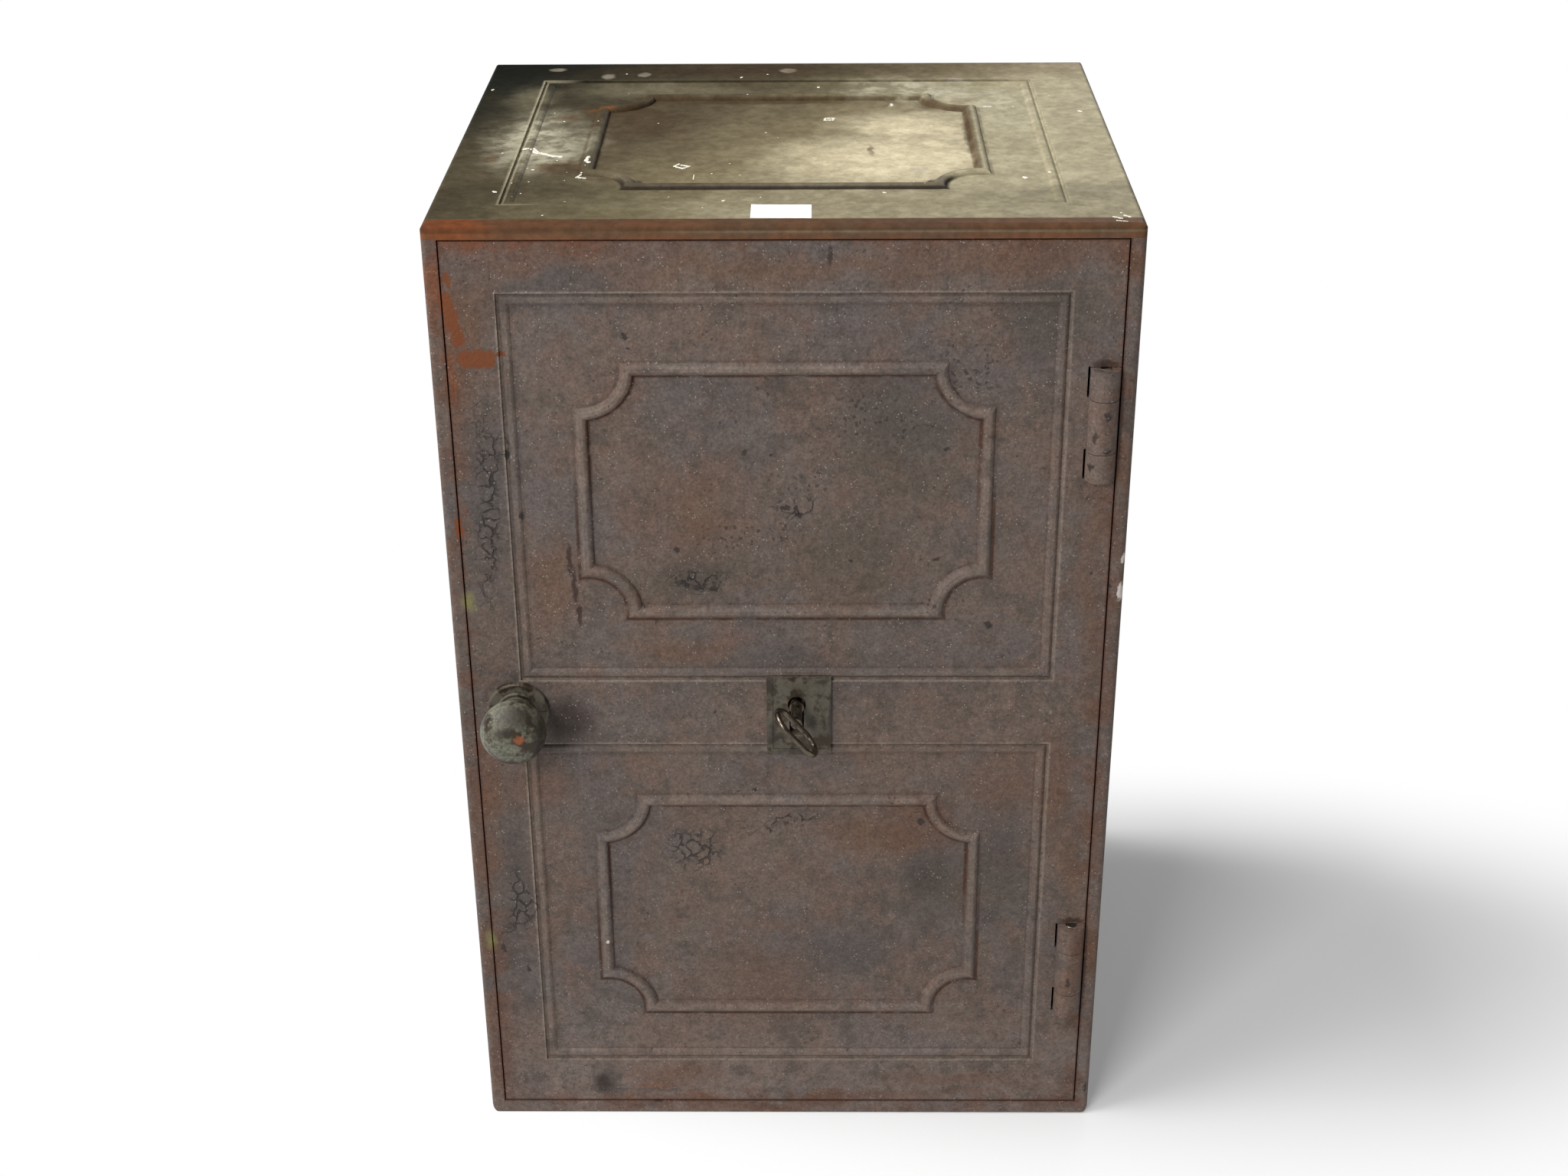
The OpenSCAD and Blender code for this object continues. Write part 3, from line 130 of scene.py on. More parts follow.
class Finish:
    """One material, with the colour that its coats have made so far."""

    def __init__(self, name):
        self.material = bpy.data.materials.new(name)
        self.material.use_nodes = True
        self.tree = self.material.node_tree
        self.tree.nodes.clear()
        self.shared = {}
        self.colour = None
        place = self.node("ShaderNodeTexCoord", {}, {}, "Object")
        self.place = self.vector("SCALE", place, scale=MM_PER_METRE)

    def node(self, kind, settings, sockets, output=0):
        node = self.tree.nodes.new(kind)
        for name, value in settings.items():
            setattr(node, name, value)
        self.fill(node.inputs, sockets)
        return Value(self, node.outputs[output])

    def fill(self, inputs, sockets):
        """Gives each named input its value, or a link where the value comes from another node."""
        for name, value in sockets.items():
            if isinstance(value, Value):
                self.tree.links.new(value.socket, inputs[name])
            else:
                inputs[name].default_value = value

    def vector(self, operation, first, second=None, scale=None):
        sockets = {0: first}
        if second is not None:
            sockets[1] = second
        if scale is not None:
            sockets["Scale"] = scale
        output = "Value" if operation in ("LENGTH", "DISTANCE") else 0
        return self.node("ShaderNodeVectorMath", {"operation": operation}, sockets, output)

    def moved(self, seed):
        """The place, moved far away, so that each seed sees another part of the noise."""
        return self.vector("ADD", self.place, seed * SEED_STEP)

    def noise(self, size, detail, roughness, seed=0):
        """Cloudy noise from 0 to 1, whose blotches are about size millimetres across."""
        sockets = {"Vector": self.moved(seed), "Scale": 1 / size, "Detail": detail, "Roughness": roughness}
        return self.node("ShaderNodeTexNoise", {}, sockets, "Fac")

    def cells(self, size, feature="F1", place=None):
        """Distance to the nearest cell centre or cell edge, in cells of size millimetres."""
        sockets = {"Vector": place or self.place, "Scale": 1 / size}
        return self.node("ShaderNodeTexVoronoi", {"feature": feature}, sockets, "Distance")

    def step(self, value, low, high, to_low=0, to_high=1):
        """A soft step: to_low below low, to_high above high."""
        sockets = {"Value": value, 1: low, 2: high, 3: to_low, 4: to_high}
        return self.node("ShaderNodeMapRange", {"interpolation_type": "SMOOTHSTEP"}, sockets)

    def most(self, first, second):
        return self.node("ShaderNodeMath", {"operation": "MAXIMUM"}, {0: first, 1: second})

    def size_of(self, value):
        return self.node("ShaderNodeMath", {"operation": "ABSOLUTE"}, {0: value})

    def mix(self, amount, first, second, blend="MIX"):
        """The first colour, with the second one over it by amount, from 0 to 1."""
        node = self.tree.nodes.new("ShaderNodeMix")
        node.data_type = "RGBA"
        node.blend_type = blend
        inputs = {socket.identifier: socket for socket in node.inputs}
        outputs = {socket.identifier: socket for socket in node.outputs}
        self.fill(inputs, {"Factor_Float": amount, "A_Color": first, "B_Color": second})
        return Value(self, outputs["Result_Color"])

    def coat(self, amount, colour):
        """Lays a colour over what is there."""
        self.colour = self.mix(amount, self.colour, colour)

    def shade(self, amount, colour):
        """Multiplies what is there by a colour."""
        self.colour = self.mix(amount, self.colour, colour, "MULTIPLY")

    def axes(self):
        split = self.node("ShaderNodeSeparateXYZ", {}, {0: self.place})
        outputs = split.socket.node.outputs
        return [Value(self, outputs[i]) for i in range(3)]

    def rough_place(self, size, reach, seed=0):
        """The place, pushed about by up to half of reach millimetres: it gives a spot a ragged edge."""
        sockets = {"Vector": self.moved(seed), "Scale": 1 / size, "Detail": 2}
        cloud = self.node("ShaderNodeTexNoise", {}, sockets, "Color")
        shift = self.vector("SUBTRACT", cloud, (0.5, 0.5, 0.5))
        return self.vector("ADD", self.place, self.vector("SCALE", shift, scale=reach))

    def most_of(self, masks):
        """The largest of several masks. Each mask's nodes are made only when its turn comes."""
        total = next(masks)
        for mask in masks:
            total = self.most(total, mask)
        return total

    def ovals(self, place, plane, marks, soft):
        """1 inside the given ovals on a plane, 0 outside. The edge fades from the share soft outwards."""
        return self.most_of(self.oval(place, plane, mark, soft) for mark in marks)

    def oval(self, place, plane, mark, soft):
        """One oval, given by its middle and two half sizes. Its shape is rounded to one of a few."""
        first, second, wide, high = mark
        shape = 2 ** (round(2 * math.log2(wide / high)) / 2)
        size = math.sqrt(wide * high)
        squash = Vector(plane(1 / math.sqrt(shape), math.sqrt(shape)))
        centre = squash * Vector(plane(first, second))
        away = self.vector("DISTANCE", self.squashed(place, squash), centre)
        return self.step(away, size, size * soft)

    def squashed(self, place, squash):
        """The place, squashed so that an oval becomes a circle. Ovals of one shape share it."""
        key = (place.socket.node.name, *[round(share, 4) for share in squash])
        if key not in self.shared:
            self.shared[key] = self.vector("MULTIPLY", place, squash)
        return self.shared[key]

    def blots(self, place, marks, soft):
        """1 inside the given egg shapes in space, 0 outside."""
        return self.most_of(self.blot(place, centre, half, soft) for centre, half in marks)

    def blot(self, place, centre, half, soft):
        """One egg shape, given by its centre and its three half sizes."""
        sockets = {"Vector": place, "Location": centre, "Scale": half}
        near = self.node("ShaderNodeMapping", {"vector_type": "TEXTURE"}, sockets)
        return self.step(self.vector("LENGTH", near), 1, soft)

    def end(self, roughness, bump_height, bump_reach, metallic=0.0, extra=None):
        """Ends the recipe: the main shader with the coats' colour, a roughness and a bump."""
        sockets = {"Distance": bump_reach, "Height": bump_height}
        bump = self.node("ShaderNodeBump", {}, sockets, "Normal")
        sockets = {
            "Base Color": self.colour, "Roughness": roughness, "Metallic": metallic, "Normal": bump,
            **(extra or {}),
        }
        self.show(self.node("ShaderNodeBsdfPrincipled", {}, sockets))
        return self.material

    def show(self, shader):
        out = self.tree.nodes.new("ShaderNodeOutputMaterial")
        self.tree.links.new(shader.socket, out.inputs["Surface"])


def on_front(x, z):
    """A point of the front, which is seen along Y, as three numbers."""
    return (x, 0, z)


def on_top(x, y):
    """A point of the top, which is seen along Z."""
    return (x, y, 0)


print("recipe methods:", len([name for name in vars(Finish) if not name.startswith("_")]))

# %% [markdown]
# ## Where the mouldings run
#
# Rust gathers in the creases beside the raised beads, with painted shade under each bead, and dust lies
# on their upper sides. Both can be drawn with a distance: how far is this point from the line of the bead?
# For a rectangle that is the larger of the two side distances. The loops have hollow corners, so a circle
# round each corner is taken out of the rectangle. A bead is about 10 mm wide, so its feet lie 5 mm from
# its middle line.

# %% Distances to the mouldings
FRAME_HALF_WIDE = 176
LOOP_HALF_WIDE = 131.5
LOOP_CORNER_RADIUS = 31


def beyond_sides(finish, across, along, half_across, half_along):
    """How far a point lies beyond each pair of sides of a rectangle round 0, 0: negative inside."""
    return finish.size_of(across) - half_across, finish.size_of(along) - half_along


def distance_to_frame(finish, across, along, half_across, half_along):
    """Signed distance to a rectangle round 0, 0."""
    return finish.most(*beyond_sides(finish, across, along, half_across, half_along))


def distance_to_loop(finish, across, along, half_along):
    """Signed distance to a loop with hollow quarter-round corners."""
    x, z = beyond_sides(finish, across, along, LOOP_HALF_WIDE, half_along)
    straight = finish.most(x, z)
    corner_place = finish.node("ShaderNodeCombineXYZ", {}, {0: x, 1: z})
    hollow = LOOP_CORNER_RADIUS - finish.vector("LENGTH", corner_place)
    return finish.most(straight, hollow)


def line(finish, distance, at, width):
    """1 on the line where the distance is `at`, and 0 beyond `width` from it."""
    return finish.step(finish.size_of(distance - at), width, width * 0.2)


print("moulding helpers ready")

# %% [markdown]
# ## The painted front
#
# The door and sides were painted a brown stone colour that has gone mauve-grey. It is made in layers,
# as the real one was: cloudy paint colours, a dark bloom down the left stile, warm rust near the edges,
# dust, creases, cracks, and last the small marks at their own places. Painted shade is added under the
# beads, and painted light on the walls of the sunken panels. The same recipe covers the sides
# and the back, where only the cloudy layers show, because `mark` keeps the others on the front.

# %% Cast iron with old brown paint
DOOR_BACK = -186

front = Finish("old_brown_paint")
x, y, z = front.axes()
wide_cloud = front.noise(95, 3, 0.55)
cloud = front.noise(26, 4, 0.6, seed=3)
patchy = front.noise(16, 5, 0.7, seed=8)
lumps = front.noise(6, 3, 0.6, seed=5)
grain = front.noise(1.9, 2, 0.6, seed=6)
drifted = front.rough_place(60, 60, seed=4)
ragged = front.rough_place(9, 9)
torn = front.rough_place(3.5, 5, seed=2)
near_front = front.step(y, DOOR_BACK - 0.5, DOOR_BACK - 2.5)


def mark(mask, amount, colour):
    """Lays a colour over the front alone."""
    front.coat(near_front * mask * amount, colour)


front.colour = front.mix(front.step(wide_cloud, 0.35, 0.66), srgb(117, 100, 89), srgb(107, 97, 93))
front.coat(front.step(cloud, 0.42, 0.68) * 0.5, srgb(121, 95, 80))
front.coat(front.step(z, 150, 0) * 0.4, srgb(150, 133, 125))
front.coat(front.step(patchy, 0.48, 0.64) * 0.6, srgb(86, 77, 70))
mark(front.step(x, -172, -190), 0.25, srgb(78, 70, 66))

bloom = front.ovals(drifted, on_front, [
    (-195, 520, 24, 110), (-198, 215, 22, 110), (85, 570, 60, 40), (20, 380, 190, 20), (165, 640, 40, 60),
    (105, 225, 34, 50), (40, 150, 60, 40), (155, 250, 24, 70), (-150, 664, 70, 24), (-140, 30, 14, 26),
], 0.1)
mark(bloom, 0.6, srgb(84, 77, 74))
olive = front.ovals(drifted, on_front, [
    (70, 540, 70, 60), (40, 470, 90, 40), (180, 640, 40, 40), (-60, 452, 60, 24), (130, 210, 50, 40),
], 0.1)
mark(olive, 0.5, srgb(88, 80, 68))

warmth = front.ovals(drifted, on_front, [
    (-150, 450, 22, 60), (-60, 400, 60, 14), (60, 250, 60, 26), (-20, 120, 70, 60), (205, 440, 16, 120),
    (-60, 500, 60, 60), (200, 230, 20, 50), (130, 30, 90, 14), (0, 672, 200, 14), (-185, 290, 40, 30),
    (150, 300, 50, 30), (-190, 650, 20, 40),
], 0.1)
mark(warmth, 0.55, srgb(114, 84, 64))
rusted = front.ovals(drifted, on_front, [
    (-150, 688, 110, 20), (150, 686, 120, 22), (-205, 630, 26, 70), (-215, 300, 10, 60),
    (95, 262, 50, 36), (-90, 36, 60, 20), (190, 300, 20, 60), (20, 12, 220, 8), (208, 150, 14, 60),
    (-221, 664, 8, 50), (221, 680, 8, 26),
], 0.2)
mark(rusted, 0.5, srgb(114, 78, 55))
print("front, paint layers:", len(front.tree.nodes), "nodes")

# %% Creases, seams, dust, painted shade and painted light on the front
# Middle heights and half sizes of the two panels, and then of the door itself
LOWER_MIDDLE, UPPER_MIDDLE = 189.1, 516.6
LOWER_FRAME_HALF, UPPER_FRAME_HALF = 132.6, 134.4
LOWER_LOOP_HALF, UPPER_LOOP_HALF = 90.1, 87.4
DOOR_MIDDLE, DOOR_HALF_WIDE, DOOR_HALF_HIGH = 351.5, 214.5, 339

on_door = front.step(y, DOOR_BACK - 2, DOOR_BACK - 7)
upper_part = front.step(z, 350, 354)


def by_panel(lower, upper):
    """A measure that is lower in the door's lower half, and upper in its upper half."""
    return upper_part * (upper - lower) + lower


from_middle = z - by_panel(LOWER_MIDDLE, UPPER_MIDDLE)
frame_half = by_panel(LOWER_FRAME_HALF, UPPER_FRAME_HALF)
frame_gap = distance_to_frame(front, x, from_middle, FRAME_HALF_WIDE, frame_half)
loop_gap = distance_to_loop(front, x, from_middle, by_panel(LOWER_LOOP_HALF, UPPER_LOOP_HALF))
door_gap = distance_to_frame(front, x, z - DOOR_MIDDLE, DOOR_HALF_WIDE, DOOR_HALF_HIGH)
broken = front.step(front.noise(17, 3, 0.6, seed=12), 0.28, 0.5)

# Rust lines in the creases beside the loop, with painted shade: the line under each bead is darker than
# the one above it
top_half = front.step(from_middle, -30, 30)
under_loop_rust_and_shade = line(front, loop_gap, 5.4, 1.7) * (1 - top_half * 0.75)
under_loop_rust_and_shade = under_loop_rust_and_shade + line(front, loop_gap, -4.8, 2.1) * (top_half * 0.75 + 0.25)
beside_frame = line(front, frame_gap, -4.3, 1.3) + line(front, frame_gap, 4.3, 1)
crease_rust_and_shade = (under_loop_rust_and_shade + beside_frame * 0.2) * broken * on_door
seam = line(front, door_gap, 0, 2.2) * front.step(y, DOOR_BACK + 36, DOOR_BACK + 16)
near_seam = front.step(front.size_of(door_gap), 16, 2) * front.step(cloud, 0.4, 0.62) * on_door

# Pale dust on the bead tops. The line 5 mm beyond the frame, in the crest and in the wall mask, is painted
# light that makes the shaded wall of the sunken panel pale
crest_and_painted_light = line(front, loop_gap, 0.2, 3.6) + line(front, frame_gap, 0, 2.6) * 0.6
crest_and_painted_light = crest_and_painted_light + line(front, frame_gap, 5, 2.2)
dust_and_painted_light = crest_and_painted_light * front.step(front.noise(30, 2, 0.5, seed=15), 0.3, 0.6) * on_door
painted_light_on_wall = line(front, frame_gap, 5, 1.5) * broken * on_door

front.coat(near_seam * 0.55, srgb(108, 72, 52))
front.coat(seam * 0.7, srgb(92, 56, 40))
front.coat(crease_rust_and_shade * 0.9, srgb(76, 47, 33))
front.coat(dust_and_painted_light * 0.55, srgb(142, 126, 114))
front.coat(painted_light_on_wall * 0.5, srgb(160, 145, 133))
print("front, creases:", len(front.tree.nodes), "nodes")

# %% [markdown]
# The marks below were read off a straightened view of the door: chips that show the orange primer, a
# blistered patch down the left stile, a long rust scratch, dark spots where the paint is pierced, wash
# marks, rust at the hinge knuckles with a painted shadow down the right of each hinge barrel, a painted
# shadow that the knob casts to its right, and a dark spot low on the door. Each is an oval on the face,
# with its outline torn by noise.

# %% Marks at their own places
primer = front.ovals(torn, on_front, [
    (-206, 627, 4.5, 8), (-209, 638, 5, 9), (-212, 649, 5, 10), (-201, 612, 6.5, 7.5),
    (-193, 612, 7, 7.5), (-187, 612, 5, 6.5), (-215, 493, 3, 10), (-180, 615, 4, 2), (-210, 665, 2, 6),
], 0.8)
primer_tint = front.ovals(ragged, on_front, [
    (-212, 500, 6, 22), (-190, 688, 50, 8), (-212, 600, 5, 60), (-207, 692, 16, 14), (-95, 26, 34, 5),
    (-84, 28, 12, 3), (-185, 18, 8, 3), (210, 94, 8, 8), (-60, 18, 26, 3),
    (-220, 668, 9, 46), (-150, 692, 80, 6),
], 0.1)
mark(primer_tint * front.step(cloud, 0.35, 0.6), 0.7, srgb(126, 72, 42))

pierced = front.ovals(torn, on_front, [
    (-101, 626, 2.4, 3), (-99, 619, 1.4, 1.4), (-173, 501, 2.8, 3.4), (136, 419, 3.4, 3.4),
    (94, 261, 3.4, 3.4), (-26, 546, 3, 2.6), (-9, 544, 2, 1.6), (100, 468, 3.4, 2),
    (-72, 475, 2.6, 2.8), (-59, 447, 5, 3), (-48, 446, 4, 2.6), (-66, 449, 3, 2), (105, 548, 2, 2),
    (43, 467, 2, 1.6), (202, 459, 1.6, 1.6), (-49, 352, 1.6, 1.6), (-180, 545, 2.4, 4.6),
    (-190, 135, 1.8, 4), (-207, 154, 2, 6), (222, 25, 2, 5), (-23, 288, 2.4, 1.8), (215, 450, 2, 2),
    (-98, 12, 4, 2), (0, 506, 5, 2.4), (9, 501, 4, 2.4),
    (206, 576, 3, 4), (199, 560, 2, 5), (207, 551, 3, 2), (197, 539, 2, 4), (203, 130, 2, 5),
], 0.5)
# Rust at the knuckle ends, and a painted shadow down the right of each hinge barrel
hinge_rust_and_shadow = front.ovals(torn, on_front, [
    (215, 567, 3, 44), (215, 136, 3, 44), (204, 608, 12, 3), (204, 178, 12, 3), (204, 96, 12, 2.5),
    (204, 526, 12, 2.5),
], 0.4)
scratch = front.ovals(torn, on_front, [
    (-143.5, 468, 2.4, 16), (-141, 448, 2.4, 18), (-138.5, 426, 2.2, 11), (29, 681, 1.6, 9),
], 0.5)
# Wash marks. The oval at -151, 352 is painted shadow beside the knob
washed_and_knob_shadow = front.ovals(ragged, on_front, [
    (-139, 31, 8, 13), (136, 386, 5, 3), (-62, 455, 26, 20), (-100, 22, 60, 2), (95, 215, 22, 26),
    (-2, 592, 14, 10), (52, 446, 9, 6), (146, 180, 12, 20), (-14, 302, 5, 22), (-151, 352, 12, 22),
], 0.1)
# Painted shadow: the first oval is the shadow that the knob casts to its right, the second a dark spot low
# on the door
painted_knob_shadow_and_spot = front.ovals(ragged, on_front, [(-149, 345, 28, 28), (-140, 28, 9, 13)], 0.2)
mark(washed_and_knob_shadow, 0.45, srgb(70, 62, 56))
mark(painted_knob_shadow_and_spot, 0.85, srgb(52, 39, 32))
mark(hinge_rust_and_shadow, 0.7, srgb(66, 42, 30))
mark(scratch, 0.85, srgb(60, 40, 34))
mark(pierced, 0.85, srgb(46, 38, 36))

blistered = front.ovals(drifted, on_front, [
    (-193, 510, 14, 96), (-62, 235, 26, 26), (-60, 450, 24, 12), (3, 262, 40, 8), (-197, 190, 12, 36),
    (5, 500, 26, 12),
], 0.3)
crack_net = front.step(front.cells(9, "DISTANCE_TO_EDGE", ragged), 0.1, 0.03)
cracks = near_front * crack_net * blistered * front.step(lumps, 0.36, 0.5)
front.coat(cracks * 0.8, srgb(40, 35, 33))
print("front, marks:", len(front.tree.nodes), "nodes")

# %% Specks, pale flecks and the surface of the casting
fleck = front.step(front.cells(2.7), 0.24, 0.1)
fleck = fleck * front.step(front.noise(9, 3, 0.6, seed=17), 0.46, 0.62)
dark_speck = front.step(front.cells(5.2, place=torn), 0.2, 0.08)
dark_speck = dark_speck * front.step(front.noise(24, 3, 0.6, seed=19), 0.44, 0.62)
peppered = front.ovals(drifted, on_front, [
    (120, 604, 44, 20), (62, 566, 60, 34), (-8, 590, 20, 18), (-60, 450, 28, 16), (102, 430, 40, 12),
    (138, 396, 16, 10), (10, 258, 70, 10), (-30, 480, 60, 24), (10, 520, 40, 16),
], 0.2)
pepper = front.step(front.cells(4.6, place=ragged), 0.34, 0.2) * peppered * near_front
chipped = front.ovals(torn, on_front, [(-131, 159, 1.6, 2.2), (223, 445, 3, 8), (223, 470, 2, 4)], 0.6)
mossy = front.ovals(ragged, on_front, [(-212, 437, 8, 10), (-216, 160, 6, 12)], 0.1)
front.coat(dark_speck * 0.5, srgb(62, 51, 45))
front.coat(pepper * 0.7, srgb(50, 42, 38))
front.shade(front.step(lumps, 0.35, 0.7, 0.32, 0), srgb(158, 154, 150))
front.shade(front.step(grain, 0.3, 0.65, 0.45, 0), srgb(150, 148, 146))
mark(mossy, 0.75, srgb(124, 118, 70))
front.coat(fleck * 0.6, srgb(186, 176, 166))
front.coat(near_front * primer, srgb(110, 59, 28))
front.coat(near_front * chipped, srgb(214, 206, 198))

height = grain * 0.3 + lumps * 0.8 + fleck * 0.3 - cracks * 1.2 - dark_speck * 0.5
gloss = front.step(cloud, 0.3, 0.7, 0.5, 0.62) + crease_rust_and_shade * 0.2 + grain * 0.12
front_iron = front.end(gloss, height, 0.0008, extra={"Specular IOR Level": 0.35})
print("front:", len(front.tree.nodes), "nodes")

# %% [markdown]
# ## The stained top
#
# The top has lost most of its brown paint to standing water and tins. It runs from black-brown at the
# back left, through olive, to a pale cream in the panel on the right. That cream is partly where damp has
# lain and partly a painted glare, and the black-brown at the back left is partly a painted dark
# reflection. The white drips are made as real drops further down. Here are their thin washed-out rings and
# stains.

# %% Cast iron with a water-stained top and a painted glare
TOP_MIDDLE, TOP_FRAME_HALF, TOP_LOOP_HALF = -4.5, 142.5, 107

top = Finish("top_iron")
tx, ty, tz = top.axes()
top_cloud = top.noise(48, 5, 0.6, seed=21)
top_mid = top.noise(15, 4, 0.6, seed=28)
top_fine = top.noise(7, 5, 0.65, seed=22)
top_ragged = top.rough_place(34, 34, seed=23)
top_torn = top.rough_place(7, 6, seed=24)

# Darker to the back left and paler to the right: stains, and partly a painted reflection, dark at the back
# left and bright on the right
to_right = tx - ty * 0.65 + top_cloud * 90 - 45
top.colour = top.mix(top.step(to_right, -320, -130), srgb(24, 26, 20), srgb(80, 72, 55))
top.coat(top.step(to_right, -130, 30), srgb(126, 116, 90))
top.coat(top.step(to_right, 0, 100), srgb(172, 163, 135))

browned = top.ovals(top_ragged, on_top, [
    (-100, 45, 50, 66), (-30, 172, 130, 30), (-110, 72, 34, 30), (-150, -66, 22, 36),
], 0.1)
haze = top.ovals(top_ragged, on_top, [(-168, -10, 54, 96), (100, 118, 90, 40), (156, 74, 38, 76)], 0.1)
thin_haze = top.ovals(top_ragged, on_top, [
    (-90, 122, 110, 26), (-186, 96, 26, 46), (150, -10, 40, 60), (-10, -150, 190, 26),
    (180, -130, 60, 50),
], 0.1)
from_top_middle = ty - TOP_MIDDLE
top_loop = distance_to_loop(top, tx, from_top_middle, TOP_LOOP_HALF)
# Painted glare over a damp stain: the pale cream in the panel on the right
damp_and_painted_glare = top.ovals(top_ragged, on_top, [(72, -46, 108, 90), (84, 30, 66, 50)], 0.1)
damp_and_painted_glare = damp_and_painted_glare * top.step(top_loop, 0, -6)
top.coat(browned * 0.45, srgb(66, 50, 38))
top.coat(thin_haze * 0.32, srgb(150, 142, 116))
patchy_haze = haze * top.step(top_cloud, 0.25, 0.65, 0.5, 0.9) * top.step(top_mid, 0.38, 0.54, 0.45, 1)
top.coat(patchy_haze, srgb(186, 180, 157))
brown_spots = top.ovals(top_ragged, on_top, [
    (-153, -62, 26, 18), (-152, 50, 22, 12), (-196, -50, 9, 12),
], 0.1)
orange_spot = top.ovals(top_ragged, on_top, [(-136, 72, 13, 9)], 0.1)
top.coat(brown_spots * 0.65, srgb(88, 66, 44))
top.coat(orange_spot * 0.7, srgb(146, 86, 48))
top.coat(damp_and_painted_glare * 0.85, srgb(220, 208, 176))
top.shade(top.step(top_mid, 0.4, 0.66, 0.35, 0), srgb(176, 172, 162))
print("top, stains:", len(top.tree.nodes), "nodes")

# %% Creases, rings, the rusty front edge of the top, and painted shade and light
top_frame = distance_to_frame(top, tx, from_top_middle, FRAME_HALF_WIDE, TOP_FRAME_HALF)
is_top = top.step(tz, 694, 697.5)
top_crease = top.most(line(top, top_loop, -4.6, 2.6), line(top, top_loop, 5.4, 2) * 0.6)
top_crease = top_crease * top.step(top.noise(22, 3, 0.5, seed=25), 0.3, 0.55) * is_top
brown_blot = top.ovals(top_torn, on_top, [
    (-95, 97, 30, 12), (-138, 68, 14, 18), (-10, 94, 90, 9), (103, 84, 12, 18), (126, 10, 4, 60),
    (-150, -72, 18, 22), (-45, -106, 70, 6), (20, -107, 4, 4), (58, -28, 3, 16), (-134, 30, 4, 30),
], 0.3)
ring = top.ovals(top_torn, on_top, [
    (0, 170, 8, 8), (-135, 155, 7, 9), (-108, 160, 6, 8), (125, 142, 8, 9), (88, -73, 9, 8),
    (30, 50, 5, 4), (145, 77, 7, 4), (-175, 175, 9, 6), (75, 85, 2.5, 8),
], 0.5)
front_edge = top.step(ty, -180.5, -183) * is_top
edge_face = 1 - is_top
top.coat(brown_blot * 0.6, srgb(68, 54, 36))
top.coat(top_crease * 0.7, srgb(70, 54, 36))
top.coat(ring * 0.45, srgb(176, 168, 150))
# Painted light: the groove beside the frame is made pale at the left and right, to lighten the shade that
# falls in it
painted_light_in_groove = line(top, top_frame, 4.4, 3) * top.step(top.size_of(tx), 150, 172)
top.coat(painted_light_in_groove * 0.6, srgb(178, 170, 144))
right_bead = line(top, top_loop, -3, 4) * top.step(tx, 96, 112)
top.coat(right_bead * 0.75, srgb(76, 58, 40))
# Painted shade on the front bead of the loop: its front flank and the lines at its feet are darkened as if
# the bead stood in shade
at_front = top.step(ty, -90, -100)
front_flank_shade = top.step(top.size_of(top_loop + 2), 9, 6) * at_front
bead_foot_shade = (line(top, top_loop, -8, 2.6) + line(top, top_loop, 4.4, 2.2)) * at_front
top.coat(front_flank_shade * 0.65, srgb(78, 69, 60))
top.coat(bead_foot_shade * 0.8, srgb(48, 41, 38))
# Darker towards the front edge
top.shade(top.step(ty, -96, -124) * 0.5, srgb(178, 176, 174))
# Darker towards the back, partly as painted shade against the back lamp's glance
top.shade(top.step(ty, 138, 166) * 0.5, srgb(190, 172, 160))
rim = top.mix(top.step(top_cloud, 0.4, 0.65), srgb(116, 82, 60), srgb(104, 80, 64))
rim_primer = top.ovals(top.rough_place(14, 14, seed=26), on_front, [(-205, 697, 34, 12)], 0.2)
rim = top.mix(rim_primer * 0.9, rim, srgb(140, 82, 50))
# Painted shade: the rim colour is darkened where it runs onto the upward face, so that the strip looks no
# brighter than the front face under the lamps
rim = top.mix(front_edge, rim, srgb(196, 190, 184), "MULTIPLY")
top.coat(top.most(edge_face, front_edge * 0.95), rim)
top.shade(top.step(top_fine, 0.3, 0.7, 0.4, 0), srgb(150, 148, 142))

top_height = top_fine * 0.6 + top.noise(2.4, 3, 0.6, seed=27) * 0.3 + ring * 0.3 - brown_blot * 0.3
top_gloss = top.step(top_cloud, 0.3, 0.7, 0.42, 0.54) + damp_and_painted_glare * 0.1 + haze * 0.1 + edge_face * 0.12
top_iron = top.end(top_gloss, top_height, 0.0006, extra={"Specular IOR Level": 0.12, "IOR": 1.2})
print("top:", len(top.tree.nodes), "nodes")

# %% [markdown]
# ## Inside, and the metal fittings
#
# Nobody repaints the inside of a strong box. The iron there is dark and dry with a bloom of rust. The
# knob and escutcheon are brass that has been painted over and has gone grey-green where hands don't
# reach. The key is the one thing still in use, so its steel is the smoothest.

# %% Bare iron inside, and dull steel
inside = Finish("inside_iron")
inside_cloud = inside.noise(22, 5, 0.6, seed=31)
inside_grain = inside.noise(2.2, 4, 0.6, seed=32)
inside.colour = inside.mix(inside.step(inside_cloud, 0.4, 0.66), srgb(74, 66, 60), srgb(98, 70, 52))
inside.shade(inside.step(inside_grain, 0.35, 0.7, 0.4, 0), srgb(120, 118, 116))
inside_gloss = inside.step(inside_cloud, 0.35, 0.65, 0.45, 0.72)
inside_iron = inside.end(inside_gloss, inside_grain + inside_cloud * 0.4, 0.0005, 0.2)

